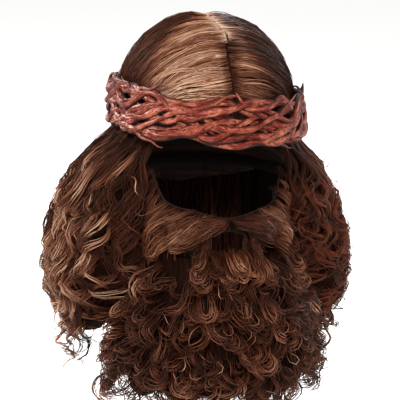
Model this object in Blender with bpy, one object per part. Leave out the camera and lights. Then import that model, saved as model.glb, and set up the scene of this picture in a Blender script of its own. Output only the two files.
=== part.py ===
"""A costume wig, its matching beard with moustache, and the woven twig crown worn on the wig.

The set keeps its worn form. +Z is up, the wearer faces -Y, and the origin is the top of the wearer's head.
Angles round the head are 0 at the front and 90 degrees at the wearer's left ear, which is at +X.
"""

import math
from collections import namedtuple
from functools import partial

import bmesh
import bpy
from mathutils import Vector

# The head that the set is made for
HEAD_HALF_BREADTH = 0.0735
HEAD_HALF_FRONT = 0.0960
HEAD_HALF_BACK = 0.0980
HEAD_HEIGHT = 0.1130
HEAD_DEPTH = 0.2100
ROUNDNESS = 2.35

# The beard's fabric base, its elastic, and the wig's cap, from the skin outwards
BACKING_WALL = 0.0012
ELASTIC_WALL = 0.0010
ELASTIC_WIDTH = 0.0100
CAP_WALL = 0.0016
SEAT_GAP = 0.0009
JOINT_GAP = 0.0006

# The smooth hair on top of the wig
TOP_HAIR_LOFT = 0.0100
PRESSED_LOFT = 0.0035
PARTING_DIP = 0.0050
PARTING_WIDTH = 0.0120
PARTING_GAP = 0.0010
COMB_RELIEF = 0.0014
COMB_PITCH = 0.0240
COMB_SLANT = 0.3
COMB_SWEEP = 0.2
CROWN_BULGE = 0.0140

# The twig crown
CROWN_TOP = -0.0470
CROWN_HEIGHT = 0.0520
CROWN_DEPTH = 0.0020
CROWN_TILT = math.radians(3.5)
TWIG_THICKNESS = 0.0086
BARK_SWELL = 0.10
BARK_SWELLS_ROUND = 7
THORN_LENGTH = 0.0130
THORN_OUT = 0.55

# The curly hair of the wig that hangs below the crown
CURTAIN_DROP = 0.2100
CURTAIN_HALF_WIDTH = 0.1500
CURTAIN_LOCK = 0.0320
CURTAIN_RELIEF = 0.0160
LOCK_TIP = 0.0360
NAPE_DROP = 0.0565
BACK_EDGE = math.radians(128)
EDGE_GAP = math.radians(0.7)
EDGE_ROUND = math.radians(13)

# Wavy locks, of the wig and of the beard: sway as a share of a lock's width, swell of its relief
LOCK_WAVE = 0.0820
LOCK_SWAY = 0.34
LOCK_SWELL = 0.28
SWELLS_PER_WAVE = 1.6
SWELL_SHIFT = 2.4
CREST_POWER = 0.7
TAPER_START = 0.78
TIP_INNER = 0.42
TIP_OUTER = 0.18
THINNEST_HAIR = 0.0040
EDGE_SHARE = 0.12
RELIEF_START = 4.5
BEARD_SEED = 1.0

# The beard
BEARD_EDGE = math.radians(52.2)
BEARD_FLARE = math.radians(24)
BACKING_EDGE = math.radians(58)
BEARD_LENGTH = 0.1960
BEARD_RISE = 0.0260
BEARD_HALF_WIDTH = 0.1200
BEARD_LOCK = 0.0280
BEARD_RELIEF = 0.0130
BEARD_TIP = 0.0280
BEARD_GAP = 0.0020
BEARD_TOP_ROUND = 0.0220
BEARD_TOP_SHARE = 0.45
FLARE_SHARE = 0.75
RISE_POWER = 2.2
BACKING_INSET = 0.0010
BACKING_RISE = 0.0300
ELASTIC_SAG = 0.0100
MOUSTACHE_LOFT = 0.0120
MOUSTACHE_RELIEF = 0.0030
MOUSTACHE_PARTING = math.radians(0.5)
MOUSTACHE_EDGE = math.radians(40)
MOUSTACHE_END_SHARE = 0.75
MOUSTACHE_RIM = 0.08
MOUSTACHE_ROUND = 0.6
COMBS_DOWN = 2.2
COMBS_ALONG = 1.4
EYES_TO_NOSE = 0.0510
EYES_TO_MOUTH = 0.0780
EYES_TO_JAW = 0.1280
MOUTH_HALF_WIDTH = 0.0200
MOUTH_HALF_HEIGHT = 0.0110

# The wearer's left is at +X
LEFT, BACK, RIGHT = 1, 0, -1

EYE_LINE = -HEAD_HEIGHT
NOSE_LINE = EYE_LINE - EYES_TO_NOSE
MOUTH_LINE = EYE_LINE - EYES_TO_MOUTH
JAW_LINE = EYE_LINE - EYES_TO_JAW
CAP_GROW = BACKING_WALL + SEAT_GAP
HAIR_GROW = CAP_GROW + CAP_WALL + SEAT_GAP
CROWN_BOTTOM = CROWN_TOP - CROWN_HEIGHT
CURTAIN_TOP = CROWN_BOTTOM - JOINT_GAP

# Heights of the cap's edge: degrees round the head, share of HEAD_HEIGHT below the top
EdgePoint = namedtuple("EdgePoint", "degrees down")
CAP_EDGE = (
    EdgePoint(0, 0.58),
    EdgePoint(38, 0.66),
    EdgePoint(58, 1.07),
    EdgePoint(78, 1.26),
    EdgePoint(105, 1.22),
    EdgePoint(140, 1.38),
    EdgePoint(180, 1.50),
)
TOP_HAIR_EDGE = (
    EdgePoint(0, 0.63),
    EdgePoint(34, 0.68),
    EdgePoint(50, 0.836),
    EdgePoint(180, 0.836),
)
# The cheek line of the beard, down from the eyes as a share of EYES_TO_NOSE
CHEEK_EDGE = (
    EdgePoint(0, 1.02),
    EdgePoint(8, 0.99),
    EdgePoint(22, 0.89),
    EdgePoint(34, 0.85),
    EdgePoint(43, 0.72),
    EdgePoint(49, 0.44),
    EdgePoint(53, 0.23),
    EdgePoint(58, 0.31),
)
# Where the moustache ends and the beard begins, down from the eyes as a share of EYES_TO_MOUTH
MOUSTACHE_END = (
    EdgePoint(0, 0.85),
    EdgePoint(8, 0.87),
    EdgePoint(14, 0.995),
    EdgePoint(24, 1.12),
    EdgePoint(33, 1.07),
    EdgePoint(38, 0.86),
    EdgePoint(41, 0.56),
    EdgePoint(46, 0.10),
)

# Outlines of the hanging hair: down is a share of its length, the others shares of its half width.
# Left and right are the wearer's.
Outline = namedtuple("Outline", "down right left front back")
CURTAIN_OUTLINES = (
    Outline(0.00, 0.600, 0.600, 0.600, 0.745),
    Outline(0.08, 0.740, 0.710, 0.650, 0.800),
    Outline(0.20, 0.880, 0.830, 0.690, 0.850),
    Outline(0.34, 0.975, 0.905, 0.715, 0.885),
    Outline(0.50, 1.030, 0.960, 0.740, 0.905),
    Outline(0.68, 1.040, 0.990, 0.740, 0.905),
    Outline(0.84, 1.020, 0.985, 0.720, 0.880),
    Outline(1.00, 0.960, 0.930, 0.680, 0.820),
)
BEARD_OUTLINES = (
    Outline(0.00, 0.740, 0.740, 0.875, 0.875),
    Outline(0.16, 0.790, 0.790, 0.935, 0.935),
    Outline(0.32, 0.870, 0.850, 1.060, 1.060),
    Outline(0.50, 1.010, 0.960, 1.170, 1.170),
    Outline(0.68, 1.130, 1.060, 1.210, 1.210),
    Outline(0.85, 1.150, 1.080, 1.180, 1.180),
    Outline(1.00, 1.040, 0.980, 1.080, 1.080),
)

# Twigs of the crown: heights and swings are shares of the crown's half height, thick of TWIG_THICKNESS
Twig = namedtuple("Twig", "height swing waves phase thick")
TWIGS = (
    Twig(0.62, 0.26, 4, 0.4, 0.95),
    Twig(0.30, 0.50, 5, 2.1, 1.05),
    Twig(0.05, 0.62, 4, 3.6, 1.00),
    Twig(-0.12, 0.58, 5, 5.3, 0.90),
    Twig(-0.38, 0.44, 4, 1.4, 1.00),
    Twig(-0.66, 0.22, 5, 4.2, 0.90),
)
# Thorns and twig ends: the twig that each grows from, degrees round the head, and its lean up and along
Thorn = namedtuple("Thorn", "twig degrees up along")
THORNS = (
    Thorn(0, 12, 0.9, -0.7),
    Thorn(0, -34, 1.0, -0.5),
    Thorn(1, 64, 0.8, 0.8),
    Thorn(2, -70, -0.3, -0.9),
    Thorn(3, 34, -0.6, 0.8),
    Thorn(4, -14, -0.4, 0.9),
    Thorn(0, 112, 1.0, 0.6),
    Thorn(1, -118, 0.9, -0.6),
    Thorn(4, 150, -0.5, 0.8),
    Thorn(0, -160, 1.0, 0.5),
)

# Colour, roughness
FINISHES = {
    "cap": ((0.030, 0.018, 0.013, 1), 0.85),
    "hair": ((0.060, 0.028, 0.017, 1), 0.45),
    "fabric": ((0.045, 0.028, 0.020, 1), 0.85),
    "elastic": ((0.035, 0.024, 0.020, 1), 0.70),
    "twig": ((0.250, 0.045, 0.030, 1), 0.42),
}

# Each thorn's length and thickness, as shares
ThornSection = namedtuple("ThornSection", "along thick")
THORN_SECTIONS = (
    ThornSection(0.00, 0.80),
    ThornSection(0.35, 0.62),
    ThornSection(0.75, 0.30),
    ThornSection(1.00, 0.10),
)

# How finely each form is divided
Grid = namedtuple("Grid", "columns rows")
CAP_GRID = Grid(36, 7)
TOP_HAIR_GRID = Grid(18, 8)
SIDE_GRID = Grid(26, 10)
BACK_GRID = Grid(28, 9)
BEARD_GRID = Grid(44, 10)
MOUSTACHE_GRID = Grid(12, 4)
BACKING_GRID = Grid(20, 5)
ELASTIC_GRID = Grid(30, 1)
TWIG_POINTS = 36
CROWN_FACES = 0.48
MOUTH_SIDES = 24
CREASE = math.radians(40)
MERGE = 1e-6


def clear_scene():
    for found in list(bpy.data.objects):
        bpy.data.objects.remove(found)


def collection(name):
    made = bpy.data.collections.new(name)
    bpy.context.scene.collection.children.link(made)
    return made


def finish_material(name, finish):
    colour, roughness = FINISHES[finish]
    made = bpy.data.materials.new(name)
    made.use_nodes = True
    shader = made.node_tree.nodes["Principled BSDF"]
    shader.inputs["Base Color"].default_value = colour
    shader.inputs["Roughness"].default_value = roughness
    made.diffuse_color = colour
    return made


def add_object(name, mesh, group, finish):
    made = bpy.data.objects.new(name, mesh)
    group.objects.link(made)
    made.data.materials.clear()
    made.data.materials.append(finish_material(name, finish))
    return made


def smoothstep(x):
    x = min(1.0, max(0.0, x))
    return x * x * (3 - 2 * x)


def read_table(rows, column, at):
    """The value of a column at a place of the table's first column, on a smooth curve through its rows."""
    places = [row[0] for row in rows]
    values = [getattr(row, column) for row in rows]
    at = min(places[-1], max(places[0], at))
    k = max(i for i in range(len(rows) - 1) if places[i] <= at)
    slopes = []
    for i in (k, k + 1):
        low, high = max(i - 1, 0), min(i + 1, len(rows) - 1)
        slopes.append((values[high] - values[low]) / (places[high] - places[low]))
    step = places[k + 1] - places[k]
    t = (at - places[k]) / step
    return (
        values[k] * (1 + 2 * t) * (1 - t) ** 2
        + slopes[0] * step * t * (1 - t) ** 2
        + values[k + 1] * t * t * (3 - 2 * t)
        + slopes[1] * step * t * t * (t - 1)
    )


def away(angle):
    """Degrees from the front, the same on both sides."""
    turned = (angle + math.pi) % (2 * math.pi) - math.pi
    return abs(math.degrees(turned))


def place(angle, radius, height):
    return Vector((radius * math.sin(angle), -radius * math.cos(angle), height))


def plan_radius(angle, side, front, back):
    """The radius at an angle of an oval outline with these half sizes."""
    end = front if math.cos(angle) > 0 else back
    return 1 / math.hypot(math.sin(angle) / side, math.cos(angle) / end)


def skin_radius(angle, height, grow):
    """The horizontal radius of the head's surface at a height, moved out by grow."""
    radius = plan_radius(
        angle, HEAD_HALF_BREADTH + grow, HEAD_HALF_FRONT + grow, HEAD_HALF_BACK + grow
    )
    reach = (HEAD_HEIGHT if height > EYE_LINE else HEAD_DEPTH) + grow
    share = min(1.0, abs(height - EYE_LINE) / reach)
    return radius * (1 - share**ROUNDNESS) ** (1 / ROUNDNESS)


def crown_lean(angle):
    """How far the crown sits above or below its level at an angle, because it leans to the wearer's left."""
    return -math.tan(CROWN_TILT) * HEAD_HALF_BREADTH * math.sin(angle)


def dome_point(angle, edge_height, along, grow):
    """A point on the head's surface moved out by grow: along is 0 at the top and 1 at the edge height."""
    radius = skin_radius(angle, EYE_LINE, grow)
    edge = skin_radius(angle, edge_height, grow)
    edge_tilt = math.atan2(edge, edge_height - EYE_LINE)
    tilt = along * edge_tilt
    reach = (HEAD_HEIGHT if tilt < math.pi / 2 else HEAD_DEPTH) + grow
    spread = (math.sin(tilt) / radius) ** ROUNDNESS + (abs(math.cos(tilt)) / reach) ** ROUNDNESS
    length = spread ** (-1 / ROUNDNESS)
    return place(angle, length * math.sin(tilt), EYE_LINE + length * math.cos(tilt))


def shell(name, outer, inner, grid, group, finish, ring=False):
    """A closed wall between two surfaces, each a function of u and v from 0 to 1. A ring closes in u."""
    across = grid.columns + (0 if ring else 1)
    bm = bmesh.new()
    layers = []
    for surface in (outer, inner):
        rows = []
        for j in range(grid.rows + 1):
            points = [surface(i / grid.columns, j / grid.rows) for i in range(across)]
            rows.append([bm.verts.new(point) for point in points])
        layers.append(rows)
    out, back = layers

    def strip(a, b):
        for i in range(grid.columns):
            k = (i + 1) % across
            bm.faces.new((a[i], a[k], b[k], b[i]))

    for j in range(grid.rows):
        strip(out[j], out[j + 1])
        strip(back[j + 1], back[j])
    strip(back[0], out[0])
    strip(out[-1], back[-1])
    if not ring:
        for side in (0, -1):
            for j in range(grid.rows):
                bm.faces.new((out[j][side], out[j + 1][side], back[j + 1][side], back[j][side]))
    bmesh.ops.remove_doubles(bm, verts=bm.verts, dist=MERGE)
    bmesh.ops.dissolve_degenerate(bm, edges=bm.edges, dist=MERGE)
    bmesh.ops.recalc_face_normals(bm, faces=bm.faces)
    mesh = bpy.data.meshes.new(name)
    bm.to_mesh(mesh)
    bm.free()
    mesh.shade_smooth()
    mesh.set_sharp_from_angle(angle=CREASE)
    return add_object(name, mesh, group, finish)


def lock_ridge(position, height, pitch, seed):
    """0 in a groove between two wavy locks and 1 on a lock's crest, which swells where it curls."""
    wave = 2 * math.pi * height / LOCK_WAVE
    lane = position / pitch + LOCK_SWAY * math.sin(wave + seed)
    crest = abs(math.sin(math.pi * lane)) ** CREST_POWER
    swell = math.sin(SWELLS_PER_WAVE * wave + SWELL_SHIFT * math.floor(lane) + seed)
    return crest * (1 - LOCK_SWELL + LOCK_SWELL * swell)


def rounded_share(from_edge, width):
    """The share of its full thickness that a mass of hair has at a distance from its edge."""
    inside = min(1.0, max(0.0, from_edge / width))
    return EDGE_SHARE + (1 - EDGE_SHARE) * math.sqrt(1 - (1 - inside) ** 2)


def hair_wall(near, thick, v, relief, ridge):
    """The inner and outer radius of a mass of hair, whose tips close in towards each other below."""
    taper = smoothstep((v - TAPER_START) / (1 - TAPER_START))
    inner = near + TIP_INNER * thick * taper
    outer = near + thick * (1 - TIP_OUTER * taper) - relief * (1 - ridge)
    return inner, max(outer, inner + THINNEST_HAIR)


def make_cap(group):
    def surface(grow, u, v):
        angle = 2 * math.pi * u
        edge = -HEAD_HEIGHT * read_table(CAP_EDGE, "down", away(angle))
        return dome_point(angle, edge, v, grow)

    outer = partial(surface, CAP_GROW + CAP_WALL)
    shell("wig_cap", outer, partial(surface, CAP_GROW), CAP_GRID, group, "cap", ring=True)


def crown_seat(angle, height, out):
    """The radius of the crown's inner face moved out by out. It is steeper than the head."""
    return skin_radius(angle, (height + EYE_LINE) / 2, HAIR_GROW + PRESSED_LOFT + out)


def top_hair_loft(point):
    """How thick the combed hair is over a point of the cap: thinner at the parting."""
    parting = smoothstep(abs(point.x) / PARTING_WIDTH)
    lane = (point.y - COMB_SLANT * abs(point.x) - COMB_SWEEP * point.z) / COMB_PITCH
    comb = abs(math.sin(math.pi * lane))
    return TOP_HAIR_LOFT - PARTING_DIP * (1 - parting) + COMB_RELIEF * comb * parting


def make_top_hair(name, side, group):
    def surface(outer, u, v):
        angle = side * math.pi * u
        edge = -HEAD_HEIGHT * read_table(TOP_HAIR_EDGE, "down", away(angle))
        edge = max(edge, CROWN_BOTTOM) + crown_lean(angle)
        point = dome_point(angle, edge, v, HAIR_GROW)
        if outer:
            point = dome_point(angle, edge, v, HAIR_GROW + top_hair_loft(point))
            above_crown = point.z - CROWN_TOP - crown_lean(angle)
            pressed = smoothstep(1 - above_crown / CROWN_BULGE)
            point = point.lerp(place(angle, crown_seat(angle, point.z, 0), point.z), pressed)
        return point + Vector((side * PARTING_GAP / 2, 0, 0))

    shell(name, partial(surface, True), partial(surface, False), TOP_HAIR_GRID, group, "hair")


def beard_edge(height):
    """The angle where the beard ends and the wig begins: the beard flares in front of the wig lower down."""
    return BEARD_EDGE + BEARD_FLARE * smoothstep((MOUTH_LINE - height) / (FLARE_SHARE * BEARD_LENGTH))


def outline_radius(angle, outlines, down, half_width):
    side = "left" if math.sin(angle) > 0 else "right"
    shares = [read_table(outlines, column, down) for column in (side, "front", "back")]
    return plan_radius(angle, *(share * half_width for share in shares))


def curtain_section(angle, height):
    """The inner radius and the thickness of the wig's hanging hair, without its locks."""
    near = skin_radius(angle, max(height, EYE_LINE - NAPE_DROP), HAIR_GROW)
    down = (CURTAIN_TOP - height) / CURTAIN_DROP
    far = outline_radius(angle, CURTAIN_OUTLINES, down, CURTAIN_HALF_WIDTH)
    from_edge = math.radians(away(angle)) - beard_edge(height) - EDGE_GAP
    return near, max(THINNEST_HAIR, (far - near) * rounded_share(from_edge, EDGE_ROUND))


def make_curtain(name, side, seed, grid, group):
    """One part of the wig's hanging hair: on the wearer's left or right, or at the back."""

    def span(height):
        if side == BACK:
            return BACK_EDGE, 2 * math.pi - BACK_EDGE
        front = beard_edge(height) + EDGE_GAP
        return side * front, side * (BACK_EDGE - EDGE_GAP)

    def surface(outer, u, v):
        start, end = span(CURTAIN_TOP)
        top_angle = start + (end - start) * u
        position = top_angle * CURTAIN_HALF_WIDTH
        tip = lock_ridge(position, CURTAIN_TOP - CURTAIN_DROP, CURTAIN_LOCK, seed)
        drop = CURTAIN_DROP - LOCK_TIP * (1 - tip)
        height = CURTAIN_TOP + crown_lean(top_angle) - drop * v
        start, end = span(height)
        angle = start + (end - start) * u
        near, thick = curtain_section(angle, height)
        ridge = lock_ridge(position, height, CURTAIN_LOCK, seed)
        relief = CURTAIN_RELIEF * smoothstep(v * RELIEF_START) * min(1.0, thick / CURTAIN_LOCK)
        return place(angle, hair_wall(near, thick, v, relief, ridge)[outer], height)

    shell(name, partial(surface, True), partial(surface, False), grid, group, "hair")


def cheek_height(angle):
    return EYE_LINE - EYES_TO_NOSE * read_table(CHEEK_EDGE, "down", away(angle))


def moustache_end(angle):
    return EYE_LINE - EYES_TO_MOUTH * read_table(MOUSTACHE_END, "down", away(angle))


def mouth_half_opening(angle):
    """Half the height of the mouth at an angle, or None past its corners."""
    share = abs(skin_radius(angle, MOUTH_LINE, 0) * math.sin(angle)) / MOUTH_HALF_WIDTH
    return MOUTH_HALF_HEIGHT * math.sqrt(1 - share * share) if share < 1 else None


def beard_start(angle):
    """Where the beard's own hair begins: under the moustache, or under the mouth, or at the cheek line."""
    start = min(cheek_height(angle), moustache_end(angle))
    half_opening = mouth_half_opening(angle)
    if half_opening is not None:
        start = min(start, MOUTH_LINE - half_opening)
    return start - BEARD_GAP


def beard_inner(angle, height):
    return skin_radius(angle, max(height, JAW_LINE), BACKING_WALL + SEAT_GAP)


def beard_section(angle, height, top):
    """The inner radius and the thickness of the beard, without its locks."""
    near = beard_inner(angle, height)
    down = (NOSE_LINE - height) / BEARD_LENGTH
    far = outline_radius(angle, BEARD_OUTLINES, down, BEARD_HALF_WIDTH)
    to_edge = beard_edge(height) - math.radians(away(angle))
    from_top = smoothstep((top - height) / BEARD_TOP_ROUND)
    share = rounded_share(to_edge, EDGE_ROUND) * (BEARD_TOP_SHARE + (1 - BEARD_TOP_SHARE) * from_top)
    return near, max(THINNEST_HAIR, (far - near) * share)


def make_beard_hair(group):
    def surface(outer, u, v):
        top_angle = BEARD_EDGE * (2 * u - 1)
        position = top_angle * BEARD_HALF_WIDTH
        tip = lock_ridge(position, NOSE_LINE - BEARD_LENGTH, BEARD_LOCK, BEARD_SEED)
        rise = BEARD_RISE * (abs(top_angle) / BEARD_EDGE) ** RISE_POWER
        bottom = NOSE_LINE - BEARD_LENGTH + BEARD_TIP * (1 - tip) + rise
        top = beard_start(top_angle)
        height = top + (bottom - top) * v
        angle = top_angle * beard_edge(height) / BEARD_EDGE
        near, thick = beard_section(angle, height, top)
        ridge = lock_ridge(position, height, BEARD_LOCK, BEARD_SEED)
        relief = BEARD_RELIEF * smoothstep(v * RELIEF_START) * min(1.0, thick / BEARD_LOCK)
        return place(angle, hair_wall(near, thick, v, relief, ridge)[outer], height)

    shell("beard_hair", partial(surface, True), partial(surface, False), BEARD_GRID, group, "hair")


def make_moustache(name, side, group):
    """One side of the moustache, from beside the middle of the lip out along the cheek."""

    def surface(outer, u, v):
        angle = side * (MOUSTACHE_PARTING + (MOUSTACHE_EDGE - MOUSTACHE_PARTING) * u)
        top = cheek_height(angle)
        bottom = min(moustache_end(angle), top - THINNEST_HAIR)
        half_opening = mouth_half_opening(angle)
        if half_opening is not None:
            bottom = max(bottom, MOUTH_LINE + half_opening)
        height = top + (bottom - top) * v
        near = beard_inner(angle, height)
        if not outer:
            return place(angle, near, height)
        swell = math.sin(math.pi * (MOUSTACHE_RIM + (1 - 2 * MOUSTACHE_RIM) * v)) ** MOUSTACHE_ROUND
        comb = abs(math.sin(math.pi * (COMBS_DOWN * v + COMBS_ALONG * u)))
        full = MOUSTACHE_END_SHARE + (1 - MOUSTACHE_END_SHARE) * math.sin(math.pi * u)
        return place(angle, near + swell * (MOUSTACHE_LOFT * full - MOUSTACHE_RELIEF * (1 - comb)), height)

    shell(name, partial(surface, True), partial(surface, False), MOUSTACHE_GRID, group, "hair")


def make_backing(group, cutters):
    """The beard's fabric base, with the mouth cut through it."""

    def surface(grow, u, v):
        angle = BACKING_EDGE * (2 * u - 1)
        top = cheek_height(angle) - BACKING_INSET
        bottom = JAW_LINE + BACKING_RISE * (abs(angle) / BACKING_EDGE) ** 2
        height = top + (bottom - top) * v
        return place(angle, skin_radius(angle, height, grow), height)

    outer = partial(surface, BACKING_WALL)
    made = shell("beard_backing", outer, partial(surface, 0), BACKING_GRID, group, "fabric")
    bm = bmesh.new()
    depth = HEAD_HALF_FRONT
    bmesh.ops.create_cone(bm, cap_ends=True, segments=MOUTH_SIDES, radius1=1, radius2=1, depth=depth)
    mesh = bpy.data.meshes.new("mouth_cutter")
    bm.to_mesh(mesh)
    bm.free()
    cutter = bpy.data.objects.new("mouth_cutter", mesh)
    cutters.objects.link(cutter)
    cutter.rotation_euler = (math.pi / 2, 0, 0)
    cutter.scale = (MOUTH_HALF_WIDTH, MOUTH_HALF_HEIGHT, 1)
    cutter.location = (0, -HEAD_HALF_FRONT, MOUTH_LINE)
    cutter.hide_render = True
    cutter.display_type = "WIRE"
    cut = made.modifiers.new("mouth", "BOOLEAN")
    cut.object = cutter


def make_elastic(group):
    """The flat elastic from one end of the beard's base round the back of the head to the other."""
    start = BACKING_EDGE + JOINT_GAP / HEAD_HALF_BREADTH
    end = 2 * math.pi - start
    top = cheek_height(BACKING_EDGE) - BACKING_INSET

    def surface(grow, u, v):
        angle = start + (end - start) * u
        height = top - ELASTIC_SAG * math.sin(math.pi * u) - ELASTIC_WIDTH * v
        return place(angle, skin_radius(angle, height, grow), height)

    outer = partial(surface, ELASTIC_WALL)
    shell("beard_elastic", outer, partial(surface, 0), ELASTIC_GRID, group, "elastic")


def twig_point(twig, angle):
    """The middle of a twig at an angle round the crown."""
    half = CROWN_HEIGHT / 2
    thick = TWIG_THICKNESS * twig.thick / 2
    turn = twig.waves * angle + twig.phase
    room = half - TWIG_THICKNESS / 2
    height = CROWN_TOP - half + room * (twig.height + twig.swing * math.sin(turn))
    height = min(CROWN_TOP - thick, max(CROWN_BOTTOM + thick, height)) + crown_lean(angle)
    outward = SEAT_GAP + thick + CROWN_DEPTH * (1 + math.cos(turn + math.pi / 4))
    return place(angle, crown_seat(angle, height, outward), height)


def tube_mesh(name, points, radii, closed):
    """A round bar through points as a mesh: a curve with a bevel, made a mesh and welded."""
    curve = bpy.data.curves.new(name, "CURVE")
    curve.dimensions = "3D"
    curve.bevel_depth = 1
    curve.bevel_resolution = 1
    curve.use_fill_caps = True
    line = curve.splines.new("POLY")
    line.points.add(len(points) - 1)
    for slot, point, radius in zip(line.points, points, radii):
        slot.co = (*point, 1)
        slot.radius = radius
    line.use_cyclic_u = closed
    made = bpy.data.objects.new(name, curve)
    bpy.context.scene.collection.objects.link(made)
    bpy.context.view_layer.update()
    graph = bpy.context.evaluated_depsgraph_get()
    mesh = bpy.data.meshes.new_from_object(made.evaluated_get(graph))
    bpy.data.objects.remove(made)
    bm = bmesh.new()
    bm.from_mesh(mesh)
    bmesh.ops.remove_doubles(bm, verts=bm.verts, dist=MERGE)
    bmesh.ops.recalc_face_normals(bm, faces=bm.faces)
    bm.to_mesh(mesh)
    bm.free()
    return mesh


def make_crown(group, cutters):
    """The woven ring: twigs that cross, and thorns, joined into one moulding."""
    parts = []
    for i, twig in enumerate(TWIGS):
        angles = [2 * math.pi * k / TWIG_POINTS for k in range(TWIG_POINTS)]
        points = [twig_point(twig, angle) for angle in angles]
        thick = TWIG_THICKNESS * twig.thick / 2
        swells = [math.sin(BARK_SWELLS_ROUND * angle + i) for angle in angles]
        radii = [thick * (1 - BARK_SWELL + BARK_SWELL * swell) for swell in swells]
        parts.append(tube_mesh(f"twig_{i}", points, radii, True))
    for i, thorn in enumerate(THORNS):
        twig = TWIGS[thorn.twig]
        angle = math.radians(thorn.degrees)
        root = twig_point(twig, angle)
        out = place(angle, 1, 0)
        side = place(angle + math.pi / 2, 1, 0)
        lean = (out * THORN_OUT + side * thorn.along + Vector((0, 0, thorn.up))).normalized()
        thick = TWIG_THICKNESS * twig.thick / 2
        points = [root + lean * THORN_LENGTH * section.along for section in THORN_SECTIONS]
        radii = [thick * section.thick for section in THORN_SECTIONS]
        parts.append(tube_mesh(f"thorn_{i}", points, radii, False))
    crown = add_object("twig_crown", parts[0], group, "twig")
    for mesh in parts[1:]:
        piece = bpy.data.objects.new(mesh.name, mesh)
        cutters.objects.link(piece)
        piece.hide_render = True
        piece.display_type = "WIRE"
    join = crown.modifiers.new("join", "BOOLEAN")
    join.operation = "UNION"
    join.operand_type = "COLLECTION"
    join.collection = cutters
    join.solver = "EXACT"
    thin = crown.modifiers.new("fewer_faces", "DECIMATE")
    thin.ratio = CROWN_FACES


def main():
    clear_scene()
    parts = collection("wig_and_beard_set")
    mouth = collection("mouth_cutters")
    twigs = collection("crown_twigs")
    make_cap(parts)
    make_top_hair("top_hair_left", LEFT, parts)
    make_top_hair("top_hair_right", RIGHT, parts)
    make_curtain("side_hair_left", LEFT, 0.6, SIDE_GRID, parts)
    make_curtain("side_hair_right", RIGHT, 2.2, SIDE_GRID, parts)
    make_curtain("back_hair", BACK, 1.4, BACK_GRID, parts)
    make_beard_hair(parts)
    make_moustache("moustache_left", LEFT, parts)
    make_moustache("moustache_right", RIGHT, parts)
    make_backing(parts, mouth)
    make_elastic(parts)
    make_crown(parts, twigs)


main()
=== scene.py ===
"""Dresses the wig, beard and twig crown: curly synthetic hair, its net and elastic, and painted twigs.

The solids of the frame give every piece its place and outline. Locks of hair run over them.
Angles round the set are 0 at the front and grow towards its left, which is at +X.
"""

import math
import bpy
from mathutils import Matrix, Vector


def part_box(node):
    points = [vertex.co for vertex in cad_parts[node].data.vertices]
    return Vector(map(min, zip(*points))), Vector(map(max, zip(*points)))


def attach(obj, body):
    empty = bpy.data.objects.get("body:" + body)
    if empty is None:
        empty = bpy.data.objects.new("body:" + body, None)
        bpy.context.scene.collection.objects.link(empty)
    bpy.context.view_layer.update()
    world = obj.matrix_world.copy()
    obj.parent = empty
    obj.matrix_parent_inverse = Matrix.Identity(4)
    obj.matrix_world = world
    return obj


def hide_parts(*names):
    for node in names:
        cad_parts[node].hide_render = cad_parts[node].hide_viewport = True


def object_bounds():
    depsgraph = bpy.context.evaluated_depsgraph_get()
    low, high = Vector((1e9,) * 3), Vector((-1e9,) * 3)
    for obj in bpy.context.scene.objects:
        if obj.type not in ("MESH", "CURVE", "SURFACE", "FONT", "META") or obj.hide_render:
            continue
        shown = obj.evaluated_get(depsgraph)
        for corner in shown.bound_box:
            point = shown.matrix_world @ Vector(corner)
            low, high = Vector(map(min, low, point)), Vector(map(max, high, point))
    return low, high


bl_info = {
    "name": "Wig and Beard Set",
    "version": (1, 0, 0),
    "blender": (4, 5, 0),
    "location": "3D View > Sidebar > Wig",
    "description": "Combed and curled costume hair, its cap and elastic, and a crown of painted twigs",
    "category": "Object",
}

from collections import namedtuple

import bmesh
import bpy
import numpy as np
from bpy.props import FloatProperty, FloatVectorProperty, IntProperty, PointerProperty
from mathutils import Matrix, Vector
from mathutils.bvhtree import BVHTree

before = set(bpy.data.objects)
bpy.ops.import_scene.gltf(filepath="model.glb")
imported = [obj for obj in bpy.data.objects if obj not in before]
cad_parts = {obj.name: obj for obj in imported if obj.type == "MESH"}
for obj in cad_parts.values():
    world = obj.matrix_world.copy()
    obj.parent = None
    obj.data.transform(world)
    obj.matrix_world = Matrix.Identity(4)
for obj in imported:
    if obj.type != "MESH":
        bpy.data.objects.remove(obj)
CAD_BOX = [list(corner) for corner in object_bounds()]

BODY = "root"
LEFT, RIGHT = 1, -1
SIDES = {LEFT: "left", RIGHT: "right"}
TURN = 2 * math.pi

# The photograph's view: the point at its middle, the camera's angles and distance, and its field
VIEW_TARGET = Vector((-0.0249, -0.0817, -0.1508))
VIEW_AZIMUTH = math.radians(-15)
VIEW_ELEVATION = math.radians(12)
VIEW_ROLL = math.radians(1.6)
VIEW_DISTANCE = 2.0
VIEW_WIDTH = 0.380

# Where the frame's pieces meet
CROWN_LOW, CROWN_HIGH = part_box("twig_crown")
CURTAIN_TOP = max(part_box(f"side_hair_{side}")[1].z for side in SIDES.values())
CURTAIN_BOTTOM = min(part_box(f"side_hair_{side}")[0].z for side in SIDES.values())
BEARD_LOW, BEARD_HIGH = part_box("beard_hair")
MOUTH_HEIGHT = -0.191
DOME_CENTRE = Vector((0, 0, -0.100))
FAR = 0.5


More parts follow.
